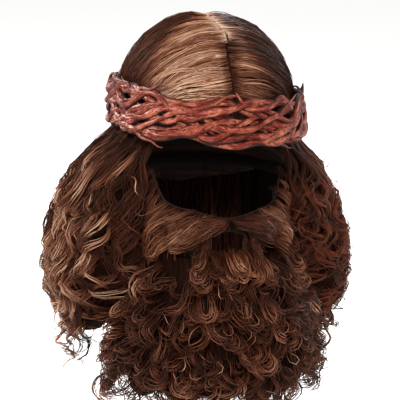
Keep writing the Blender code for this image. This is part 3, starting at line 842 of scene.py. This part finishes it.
class CrownSettings(bpy.types.PropertyGroup):
    bark_depth: length_setting("Bark depth", "Depth of the grooves along the twigs", 0.0019)
    seed: IntProperty(name="Seed", description="Changes the bark", default=3)
    # Red and brown follow which way a face turns, partly as painted light. Dark is the wash in the grooves
    # and painted shade on faces turned in. Pale is a thin dry brushing and a painted glare on the set's right
    # end.
    red: colour_setting("Red", "Paint on the crests", (0.150, 0.0165, 0.0080))
    orange: colour_setting("Orange", "Patches of lighter paint", (0.330, 0.095, 0.050))
    brown: colour_setting("Brown", "Paint on the flanks", (0.034, 0.0075, 0.0048))
    pale: colour_setting("Pale", "Dry brushed crests", (0.700, 0.460, 0.390))
    dark: colour_setting("Dark", "Wash in the grooves", (0.0085, 0.0030, 0.0020))


# Pieces


def bezier(a, b, c, d, t):
    return a * (1 - t) ** 3 + 3 * b * t * (1 - t) ** 2 + 3 * c * t**2 * (1 - t) + d * t**3


class WIG_OT_combed_hair(bpy.types.Operator):
    """Makes the smooth hair on top, combed from the parting in arcs to the sides and back"""

    bl_idname = "wig.combed_hair"
    bl_label = "Combed Hair"

    def execute(self, context):
        look = context.scene.wig_hair
        dome = Dome(["top_hair_left", "top_hair_right"])
        draw = np.random.default_rng(look.seed)
        # The hair under the combed locks is dark: painted shade
        deep = mass_material("hair under combed locks", look.dark, look.middle, 26.0)
        strands = strand_material("combed strands", look, (look.dark, look.middle, look.light, look.pale))
        for side, word in SIDES.items():
            piece_from(f"top_hair_{word}", f"combed_mass_{word}", deep, 0.0016)
            groups = [
                self.locks(dome, side, 135, 8, look.strand_width * 0.9, 0.0052, (-0.0006, 0.0014), draw),
                self.locks(dome, side, 34, 2, look.strand_width * 0.8, 0.0030, (0.0012, 0.0032), draw),
            ]
            style = Style(0.30, 0.0009, 0.050, 0.16, 0.22)
            make_hair(f"combed_hair_{word}", groups, style, strands, look.seed + side)
        return {"FINISHED"}

    def locks(self, dome, side, count, strands, width, spread, lift, draw):
        """Locks combed from the parting down to the crown, from the front of one side to its back."""
        steps = 14
        place = np.sort(spaced(-1.0, 1.0, count, draw))
        tilt = np.abs(place) * math.radians(80)
        forward = np.where(place < 0, -1.0, 1.0)
        out = np.stack((np.zeros(count), forward * np.sin(tilt), np.cos(tilt)), axis=-1)
        start = np.array(DOME_CENTRE) + out * 0.1
        kink = 0.0035 * np.exp(-(((place + 0.36) / 0.07) ** 2))
        start[:, 0] = side * 0.0008 + kink
        sway = draw.normal(0, 0.0022, (2, count))
        end_angle = side * np.radians(104 + 72 * place + draw.normal(0, 6, count))
        end = np.stack(
            (np.sin(end_angle) * 0.08, -np.cos(end_angle) * 0.1, np.full(count, CROWN_LOW.z + 0.012)), axis=-1
        )
        sideways = np.array((side, 0.04, -0.30))
        after = start + sideways * 0.040 * varied(draw, 0.6, 1.3, count)
        before = end + np.array((0, 0, 0.036)) * varied(draw, 0.6, 1.4, count)
        t = np.linspace(0, 1, steps)[None, :, None]
        path = bezier(start[:, None], after[:, None], before[:, None], end[:, None], t)
        t = t[..., 0]
        filling = (0.0042 - 0.0024 * eased((-place - 0.3) / 0.3))[:, None] * np.exp(-((t / 0.045) ** 2))
        lifts = varied(draw, *lift, count) + filling - 0.0008 * (1 - eased(t / 0.03))
        path[..., 2] += sway[0][:, None] * np.sin(math.pi * t) + sway[1][:, None] * np.sin(TURN * t)
        points, rays = dome.place(path, lifts)
        points[..., 0] = side * np.maximum(side * points[..., 0], side * kink[:, None] + 0.0004)
        turned = np.degrees(np.abs(np.arctan2(points[..., 0], -points[..., 1])))
        # Painted shade: the top hair darkens towards each side, later on the set's right, which faces the key
        # lamp. It is lighter again behind, and a little lighter along the middle of each lock.
        if side == RIGHT:
            tone = 0.60 - 0.58 * eased((turned - 42) / 30)
        else:
            tone = 0.52 - 0.54 * eased((turned - 10) / 24)
        behind = 0.34 * eased((turned - 115) / 35)
        swell = 0.10 * np.sin(math.pi * t)
        near = np.where(place > -0.4, 0.62, -0.30)[:, None] * (1 - eased(t / 0.08))
        tone = tone + behind + swell + near + draw.normal(0, 0.11, count)[:, None]
        return {
            "points": points,
            "outward": rays,
            "spread": spread * (0.6 + 0.4 * np.sin(math.pi * t)) * varied(draw, 0.75, 1.25, count),
            "tone": tone,
            "strands": strands,
            "width": width,
        }


# Locks that start anywhere: how long they are, their tone and its chance, and how far astray they head
Scatter = namedtuple("Scatter", "shortest longest tone mottle astray")
SCATTERS = {
    "lower": Scatter(0.060, 0.095, 0.24, 0.19, 0.35),
    "loose": Scatter(0.070, 0.105, 0.34, 0.12, 0.35),
    "stray": Scatter(0.035, 0.070, 0.34, 0.14, 0.80),
    "beard stray": Scatter(0.030, 0.060, 0.30, 0.14, 0.90),
}

# The heights between which the curls of the lower half and the stray strands start, on the wig and the beard
LOWER_STARTS = (-0.150, CURTAIN_BOTTOM + 0.045)
STRAY_STARTS = (CURTAIN_TOP - 0.02, CURTAIN_BOTTOM + 0.02)
BEARD_STARTS = (MOUTH_HEIGHT - 0.02, BEARD_LOW.z + 0.03)


def fan(side, first, last, count, draw):
    """Angles spread on one side between two that are given in degrees."""
    return spaced(side * math.radians(first), side * math.radians(last), count, draw)


def some(share, low, high, count, draw):
    """0 for a share of the locks, and a value between two for each of the others."""
    return np.where(draw.random(count) < share, 0.0, draw.uniform(low, high, count))


class LockLayer:
    """Lays groups of locks over self.wall, with strands as wide as self.width."""

    def lay(self, name, draw, angle, height, heading, length, tone):
        return walked(self.wall, RUNS[name], self.width, draw, angle, height, heading, length, tone)

    def scattered(self, name, draw, angle, starts=None):
        """Locks that start between two heights, or else a little over the hair's lower edge."""
        scatter, count = SCATTERS[name], len(angle)
        if starts:
            height = spaced(*starts, count, draw)
        else:
            height = self.wall.edge(angle, "bottom") + draw.uniform(0.015, 0.05, count)
        length = draw.uniform(scatter.shortest, scatter.longest, count)
        tone = scatter.tone + draw.normal(0, scatter.mottle, count)
        heading = draw.normal(0, scatter.astray, count)
        return self.lay(name, draw, angle, height, heading, length, tone)


class WIG_OT_hanging_hair(LockLayer, bpy.types.Operator):
    """Makes the curly hair that hangs at the sides and the back of the wig"""

    bl_idname = "wig.hanging_hair"
    bl_label = "Hanging Hair"

    def execute(self, context):
        look = context.scene.wig_hair
        self.wall = Wall(["side_hair_left", "side_hair_right", "back_hair"], CURTAIN_TOP, CURTAIN_BOTTOM)
        self.width = look.strand_width
        draw = np.random.default_rng(look.seed + 10)
        # The hair under the hanging locks is near black: painted shade
        deep = mass_material("hair under hanging locks", look.shadow, look.dark, 34.0)
        brown = strand_material("brown curls", look, (look.dark, look.middle, look.light, look.pale))
        red = strand_material("red curls", look, (look.dark, look.red, look.middle, look.light))
        style = Style(0.55, 0.0010, 0.040, 0.22, 0.24)
        for side, word in SIDES.items():
            piece_from(f"side_hair_{word}", f"side_mass_{word}", deep, 0.003)
            groups = [
                self.long_locks(side, draw, fan(side, 57, 127, 88, draw)),
                self.front_edge(side, draw),
                self.scattered("lower", draw, fan(side, 53, 126, 34, draw), LOWER_STARTS),
                self.scattered("loose", draw, fan(side, 60, 124, 22, draw)),
                self.scattered("stray", draw, fan(side, 58, 126, 36, draw), STRAY_STARTS),
            ]
            strands = red if side == LEFT else brown
            make_hair(f"side_locks_{word}", groups, style, strands, look.seed + 20 + side)
        piece_from("back_hair", "back_mass", deep, 0.003)
        groups = [
            self.long_locks(0, draw, fan(1, 129, 231, 56, draw)),
            self.scattered("lower", draw, fan(1, 129, 231, 16, draw), LOWER_STARTS),
            self.scattered("loose", draw, fan(1, 129, 231, 14, draw)),
            self.scattered("stray", draw, fan(1, 129, 231, 18, draw), STRAY_STARTS),
            self.inner_locks(draw),
        ]
        make_hair("back_locks", groups, style, brown, look.seed + 30)
        return {"FINISHED"}

    def long_locks(self, side, draw, angle):
        """Wavy locks from under the crown down to the ends."""
        count = len(angle)
        height = self.wall.edge(angle, "top") + 0.003 - some(0.62, 0.02, 0.10, count, draw)
        length = (height - self.wall.edge(angle, "bottom")) * 1.17
        front = 1 - eased((np.abs(angle) - math.radians(57)) / math.radians(40))
        heading = side * front * draw.uniform(0.02, 0.38, count)
        tone = 0.28 + draw.normal(0, 0.25, count) - 0.16 * front * (side != 0)
        name = "long left" if side == LEFT else "long"
        return self.lay(name, draw, angle, height, heading, length, tone)

    def inner_locks(self, draw):
        """Smooth hair on the inside of the back, as seen through the wig's front opening."""
        count = 22
        wall = Wall(["back_hair"], CURTAIN_TOP, CURTAIN_BOTTOM, inner=True)
        angle = spaced(math.radians(129) + 0.05, math.radians(231) - 0.05, count, draw)
        tone = 0.24 + draw.normal(0, 0.12, count)
        start, heading, length = CURTAIN_TOP - 0.055, 0.0, 0.125
        return walked(wall, RUNS["inner"], self.width, draw, angle, start, heading, length, tone)

    def front_edge(self, side, draw):
        """Dark locks that cover the side hair's front edge and lap over the sides of the beard."""
        count = 17
        angle = fan(side, 51.5, 57.5, count, draw)
        height = self.wall.edge(angle, "top") + 0.002 - some(0.5, 0, 0.11, count, draw)
        length = (height - CURTAIN_BOTTOM) * 0.9
        tone = 0.04 + draw.normal(0, 0.08, count)
        return self.lay("front edge", draw, angle, height, side * 0.04, length, tone)


class WIG_OT_beard(LockLayer, bpy.types.Operator):
    """Makes the curls of the beard, and the moustache that is swept to the sides"""

    bl_idname = "wig.beard"
    bl_label = "Beard and Moustache"

    def execute(self, context):
        look = context.scene.wig_hair
        nodes = ["beard_hair", "moustache_left", "moustache_right", "beard_backing"]
        self.wall = Wall(nodes, BEARD_HIGH.z + 0.004, BEARD_LOW.z)
        self.width = look.strand_width
        draw = np.random.default_rng(look.seed + 40)
        # The hair under the beard and moustache is near black: painted shade
        deep = mass_material("hair under beard curls", look.shadow, look.dark, 34.0)
        strands = strand_material("beard strands", look, (look.dark, look.middle, look.light, look.pale))
        piece_from("beard_hair", "beard_mass", deep, 0.003)
        groups = [self.curls(draw), self.chin_tuft(draw)]
        angle = np.radians(spaced(-70, 70, 90, draw))
        groups.append(self.scattered("beard stray", draw, angle, BEARD_STARTS))
        style = Style(0.6, 0.0010, 0.028, 0.25, 0.24)
        make_hair("beard_curls", groups, style, strands, look.seed + 41)
        for side, word in SIDES.items():
            piece_from(f"moustache_{word}", f"moustache_mass_{word}", deep, 0.0012)
            groups = [self.swept(side, draw), self.lip_fringe(side, draw), self.mouth_corner(side, draw)]
            style = Style(0.4, 0.0006, 0.040, 0.22, 0.20)
            make_hair(f"moustache_strands_{word}", groups, style, strands, look.seed + 50 + side)
        return {"FINISHED"}

    def curls(self, draw):
        """Round curls, each a short bundle that rises, turns over and tucks in."""
        count = 266
        share = spaced(0, 1, count, draw) ** 0.86
        angle = np.radians(spaced(-72, 72, count, draw)) * (0.80 + 0.20 * share)
        top = np.minimum(self.wall.edge(angle, "top") - 0.012, np.where(np.abs(angle) < 0.62, -0.206, 0.0))
        height = top + (BEARD_LOW.z + 0.024 - top) * share
        clumps = np.sin(angle * 7.0 + height * 55.0) * np.sin(height * 95.0 - angle * 4.0)
        tone = 0.10 + 0.22 * clumps + draw.normal(0, 0.11, count)
        heading = 0.45 * np.sin(angle) + draw.normal(0, 0.45, count)
        length = draw.uniform(0.045, 0.070, count) * (1 - 0.25 * share)
        return self.lay("beard curl", draw, angle, height, heading, length, tone)

    def chin_tuft(self, draw):
        """The lighter tuft under the beard's opening, and the hair round the opening's lower edge."""
        count = 40
        angle = np.radians(spaced(-17, 19, count, draw))
        height = MOUTH_HEIGHT - 0.0050 - draw.uniform(0, 0.009, count)
        middle = np.exp(-(((np.degrees(angle) - 6) / 7) ** 2))
        tone = 0.12 + 0.24 * middle + draw.normal(0, 0.10, count)
        length = draw.uniform(0.024, 0.050, count)
        return self.lay("chin tuft", draw, angle, height, 0.5 * angle, length, tone)

    def swept(self, side, draw):
        """Smooth hair from the beard's upper edge, swept out and down."""
        count = 74
        turned = spaced(-1.6, 56.0, count, draw)
        angle = side * np.radians(turned)
        lower = some(0.55, 0, 0.022, count, draw)
        height = self.wall.edge(angle, "top") + 0.001 - lower * eased((turned - 5) / 12)
        outer = np.maximum(turned, 0) / 56.0
        heading = side * np.radians(68 - 46 * outer + draw.normal(0, 6, count))
        length = 0.060 - 0.012 * outer
        if side == LEFT:
            tone = 0.28 + 0.20 * eased((turned - 12) / 14) * (1 - 0.7 * eased((turned - 38) / 12))
        else:
            tone = 0.50 - 0.20 * outer
        # Painted shade: darker near the middle, under the nose
        tone = tone - 0.34 * (1 - eased((turned - 3) / 10)) + draw.normal(0, 0.09, count)
        return self.lay("swept", draw, angle, height, heading, length, tone)

    def lip_fringe(self, side, draw):
        """The moustache's lower hair, which parts in the middle and curls down at the opening's corner."""
        count = 20
        angle = side * np.radians(spaced(0.8, 11.0, count, draw))
        height = MOUTH_HEIGHT + 0.018 + draw.uniform(-0.001, 0.008, count)
        heading = side * np.radians(80 + draw.normal(0, 5, count))
        length = draw.uniform(0.030, 0.042, count)
        # Dark round the opening: painted shade
        tone = 0.16 + draw.normal(0, 0.10, count)
        return self.lay("lip fringe", draw, angle, height, heading, length, tone)

    def mouth_corner(self, side, draw):
        """Short hair that curls down past the opening's corner."""
        count = 9
        angle = side * np.radians(spaced(9.5, 14.5, count, draw))
        height = MOUTH_HEIGHT + draw.uniform(0.004, 0.013, count)
        heading = side * np.radians(22 + draw.normal(0, 12, count))
        # Dark round the opening's corner: painted shade
        tone = 0.08 + draw.normal(0, 0.07, count)
        return self.lay("corner", draw, angle, height, heading, 0.030, tone)


# The crown of twigs

Twig = namedtuple("Twig", "height swing waves phase thick out")
Branch = namedtuple("Branch", "twig degrees span height thick out")
Thorn = namedtuple("Thorn", "twig degrees up along")

CROWN_TOP = -0.047
CROWN_HEIGHT = 0.052
TWIG_THICKNESS = 0.0086
CROWN_DEPTH = 0.0032
THORN_LENGTH = 0.014
SEAT_GAP = 0.0009
CROWN_RADIUS = 0.09
HEAD_HALF_BREADTH = 0.0735
CROWN_LEAN = math.tan(math.radians(3.5)) * HEAD_HALF_BREADTH
TWIG_REACH = 0.009
BRANCH_REACH = 0.0055
THORN_BASE = 0.0030

TWIGS = [
    Twig(*row)
    for row in (
        (0.62, 0.26, 4, 0.4, 0.95, 0.0),
        (0.30, 0.50, 5, 2.1, 0.92, 0.0),
        (0.05, 0.62, 4, 3.6, 1.00, 0.0),
        (-0.12, 0.58, 5, 5.3, 0.90, 0.0),
        (-0.38, 0.44, 4, 1.4, 1.00, 0.0),
        (-0.66, 0.22, 5, 4.2, 0.90, 0.0),
        (0.45, 0.34, 7, 1.0, 0.78, 0.20),
        (0.12, 0.40, 6, 4.6, 0.84, 0.26),
        (-0.20, 0.42, 7, 0.2, 0.76, 0.24),
        (-0.50, 0.32, 6, 2.8, 0.80, 0.20),
        (0.75, 0.12, 9, 3.3, 0.66, 0.10),
        (-0.80, 0.10, 8, 5.0, 0.68, 0.10),
        (0.00, 0.75, 3, 1.9, 0.70, 0.42),
    )
]
BRANCHES = [
    Branch(*row)
    for row in (
        (0, -70, 34, 1.10, 0.66, 0.3),
        (1, -52, -30, 0.95, 0.60, 0.7),
        (2, -36, 36, -0.60, 0.70, 0.8),
        (0, -26, 32, 1.08, 0.62, 0.3),
        (3, -12, -34, 0.70, 0.62, 0.8),
        (4, 4, 34, -0.98, 0.66, 0.5),
        (1, 10, 30, 0.92, 0.58, 0.6),
        (2, 26, -34, -0.85, 0.62, 0.8),
        (0, 40, 30, 1.10, 0.60, 0.3),
        (5, 48, -30, -0.30, 0.58, 0.8),
        (3, 62, 32, 0.85, 0.66, 0.6),
        (5, -64, 26, -1.10, 0.62, 0.3),
        (4, -88, 34, 0.60, 0.64, 0.7),
        (0, 92, 34, 1.06, 0.62, 0.3),
        (2, 118, 34, -0.95, 0.64, 0.6),
        (1, 146, 34, 1.02, 0.60, 0.4),
        (4, 172, 34, 0.20, 0.64, 0.8),
        (0, -122, 34, 1.06, 0.60, 0.3),
        (3, -146, -34, -0.90, 0.62, 0.6),
        (5, -168, 34, -1.04, 0.56, 0.3),
    )
]
THORNS = [
    Thorn(*row)
    for row in (
        (0, 4, 1.0, -0.6),
        (0, -34, 1.0, -0.5),
        (1, 64, 0.8, 0.8),
        (2, -70, -0.3, -0.9),
        (3, -84, -0.1, -1.0),
        (3, 34, -0.6, 0.8),
        (4, -14, -0.4, 0.9),
        (0, 112, 1.0, 0.6),
        (1, -118, 0.9, -0.6),
        (4, 150, -0.5, 0.8),
        (0, -160, 1.0, 0.5),
    )
]


class WIG_OT_crown(bpy.types.Operator):
    """Makes the crown of woven twigs with forks and thorns, cast in one and painted"""

    bl_idname = "wig.crown"
    bl_label = "Twig Crown"

    def execute(self, context):
        look = context.scene.wig_crown
        self.seat = Wall(["top_hair_left", "top_hair_right"], CROWN_HIGH.z + 0.006, CROWN_LOW.z - 0.004)
        rows = len(TWIGS) + len(BRANCHES) + len(THORNS)
        draw = np.random.default_rng(look.seed)
        parts = (
            [self.twig(twig, draw) for twig in TWIGS],
            [self.branch(branch, draw) for branch in BRANCHES],
            [self.thorn(thorn) for thorn in THORNS],
        )
        groups, row = [], 0
        for lines in parts:
            points, radius = (np.stack(arrays) for arrays in zip(*lines))
            groups.append({"points": points, "radius": radius, "row": row + np.arange(len(lines))[:, None]})
            row += len(lines)
        values = {
            "Sides": 9.0,
            "Bark Depth": look.bark_depth,
            "Rows": float(rows),
            "Seed": look.seed,
            "Material": bark_material(look, rows),
        }
        made = grown("crown_of_twigs", groups, twig_tree, values)
        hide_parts("twig_crown")
        return {"FINISHED"}

    def middle(self, twig, angle):
        """How high a twig's middle is, and how far out of its seat, at each angle."""
        half = CROWN_HEIGHT / 2
        thickness = TWIG_THICKNESS * twig.thick
        turn = twig.waves * angle + twig.phase
        share = np.clip(twig.height + twig.swing * np.sin(turn), -1, 1)
        height = CROWN_TOP - half + (half - thickness / 2) * share - CROWN_LEAN * np.sin(angle)
        out = SEAT_GAP + thickness / 2 + CROWN_DEPTH * (1 + np.cos(turn + math.pi / 4))
        out = out + twig.out * TWIG_REACH
        return height, out

    def twig(self, twig, draw):
        """A whole turn of a twig, which wanders and has knots: its points and its radius at each."""
        angle = math.pi + np.linspace(0, TURN, 230)
        height, out = self.middle(twig, angle)
        first, second, third = draw.uniform(0, TURN, 3)
        height = height + 0.0013 * np.sin(11 * angle + first) + 0.0008 * np.sin(19 * angle + third)
        out = out + 0.0006 * np.sin(13 * angle + second)
        knots = 1 + 0.14 * np.sin(9 * angle + third) + 0.11 * np.sin(23 * angle + first)
        return self.seat.place(angle, height, out), TWIG_THICKNESS / 2 * twig.thick * knots

    def branch(self, branch, draw):
        """A fork that leaves its twig along it and ends in a point."""
        share = np.linspace(0, 1, 40)
        angle = math.radians(branch.degrees) + math.radians(branch.span) * share
        parent = TWIGS[branch.twig]
        height, out = self.middle(parent, angle)
        leaving = eased(share)
        half = CROWN_HEIGHT / 2
        goal = CROWN_TOP - half + half * branch.height - CROWN_LEAN * np.sin(angle)
        height = height + (goal - height) * leaving
        out = out + BRANCH_REACH * branch.out * np.sin(math.pi * np.minimum(share * 0.75 + 0.1, 1.0))
        bend = 0.0010 * np.sin(15 * share + draw.uniform(0, TURN))
        thin = TWIG_THICKNESS / 2 * branch.thick * (1 - 0.80 * share**1.6)
        return self.seat.place(angle, height + bend, out), thin

    def thorn(self, thorn):
        share = np.linspace(0, 1, 9)
        height, out = self.middle(TWIGS[thorn.twig], np.array([math.radians(thorn.degrees)]))
        up = THORN_LENGTH * thorn.up * share**1.2
        turned = math.radians(thorn.degrees) + THORN_LENGTH * thorn.along * share / CROWN_RADIUS
        reach = out[0] + THORN_LENGTH * 0.45 * share
        points = self.seat.place(turned, np.full(9, height[0]), reach)
        points[:, 2] += up
        return points, THORN_BASE * (1 - 0.88 * share)


class WIG_OT_base(bpy.types.Operator):
    """Finishes the wig's cap, the beard's base and its elastic"""

    bl_idname = "wig.base"
    bl_label = "Cap, Base and Elastic"

    def execute(self, context):
        look = context.scene.wig_hair
        piece_from("wig_cap", "cap_net", cap_material(look), 0.0, 0.3)
        knit = knit_material("base knit", look.lace, 0.0016)
        piece_from("beard_backing", "beard_base", knit, 0.0, 0.3)
        ribbed = knit_material("ribbed elastic", scaled(look.lace, 0.6), 0.0012)
        piece_from("beard_elastic", "elastic_band", ribbed, 0.0, 0.2)
        return {"FINISHED"}


FLOOR_HALF = 30.0
FLOOR_DROP = 0.06

# Where each soft lamp stands from the view's target, its side and its power
Lamp = namedtuple("Lamp", "name where size power")
LAMPS = (
    Lamp("key", (-0.9, -1.5, 1.3), 0.7, 60),
    Lamp("fill", (1.4, -1.3, 0.5), 1.2, 18),
    Lamp("rim", (0.3, 1.6, 1.2), 1.0, 30),
    Lamp("left rim", (-1.7, 0.5, 0.9), 0.6, 34),
    Lamp("right rim", (1.7, 0.7, 0.5), 0.6, 8),
)


class WIG_OT_stage(bpy.types.Operator):
    """Makes the camera, the soft lights and the pale floor"""

    bl_idname = "wig.stage"
    bl_label = "Stage"

    def execute(self, context):
        self.camera(context.scene)
        self.floor()
        self.light(context.scene)
        context.scene.view_settings.view_transform = "Standard"
        return {"FINISHED"}

    def camera(self, scene):
        level = math.cos(VIEW_ELEVATION)
        ahead = -math.cos(VIEW_AZIMUTH) * level
        back = Vector((math.sin(VIEW_AZIMUTH) * level, ahead, math.sin(VIEW_ELEVATION)))
        across = Vector((0, 0, 1)).cross(back).normalized()
        right = across * math.cos(VIEW_ROLL) + back.cross(across) * math.sin(VIEW_ROLL)
        data = bpy.data.cameras.new("camera")
        data.sensor_width = 36
        data.lens = data.sensor_width * VIEW_DISTANCE / VIEW_WIDTH
        data.clip_end = 100
        turned = Matrix((right, back.cross(right), back)).transposed().to_quaternion()
        camera = placed("camera", data)
        camera.matrix_world = Matrix.LocRotScale(VIEW_TARGET + back * VIEW_DISTANCE, turned, None)
        scene.camera = camera

    def floor(self):
        mesh = bpy.data.meshes.new("floor")
        low = CAD_BOX[0][2] - FLOOR_DROP
        corners = [(x * FLOOR_HALF, y * FLOOR_HALF, low) for x, y in ((-1, -1), (1, -1), (1, 1), (-1, 1))]
        mesh.from_pydata(corners, [], [(0, 1, 2, 3)])
        look = {"Base Color": (0.9, 0.9, 0.89, 1), "Roughness": 0.9}
        mesh.materials.append(new_material("pale floor", look)[2])
        floor = placed("floor", mesh)

    def light(self, scene):
        world = bpy.data.worlds.new("white room")
        world.use_nodes = True
        background = world.node_tree.nodes["Background"]
        background.inputs["Color"].default_value = (1, 1, 1, 1)
        background.inputs["Strength"].default_value = 1.0
        scene.world = world
        for lamp in LAMPS:
            data = bpy.data.lights.new(lamp.name, "AREA")
            data.size = lamp.size
            data.energy = lamp.power
            stand = placed(lamp.name, data)
            stand.location = VIEW_TARGET + Vector(lamp.where)
            stand.rotation_euler = (-Vector(lamp.where)).to_track_quat("-Z", "Y").to_euler()


class WIG_PT_panel(bpy.types.Panel):
    bl_label = "Wig and Beard Set"
    bl_idname = "WIG_PT_panel"
    bl_space_type = "VIEW_3D"
    bl_region_type = "UI"
    bl_category = "Wig"

    def draw(self, context):
        for group in (context.scene.wig_hair, context.scene.wig_crown):
            box = self.layout.box()
            for name in group.__annotations__:
                box.prop(group, name)
        for operator in OPERATORS:
            self.layout.operator(operator.bl_idname)


OPERATORS = (
    WIG_OT_stage,
    WIG_OT_base,
    WIG_OT_combed_hair,
    WIG_OT_hanging_hair,
    WIG_OT_beard,
    WIG_OT_crown,
)
SETTINGS = {"wig_hair": HairSettings, "wig_crown": CrownSettings}
CLASSES = (*SETTINGS.values(), *OPERATORS, WIG_PT_panel)


def register():
    for made in CLASSES:
        bpy.utils.register_class(made)
    for name, group in SETTINGS.items():
        setattr(bpy.types.Scene, name, PointerProperty(type=group))


def unregister():
    for name in SETTINGS:
        delattr(bpy.types.Scene, name)
    for made in reversed(CLASSES):
        bpy.utils.unregister_class(made)


def main():
    register()
    for operator in OPERATORS:
        group, name = operator.bl_idname.split(".")
        getattr(getattr(bpy.ops, group), name)()


if __name__ == "__main__":
    main()
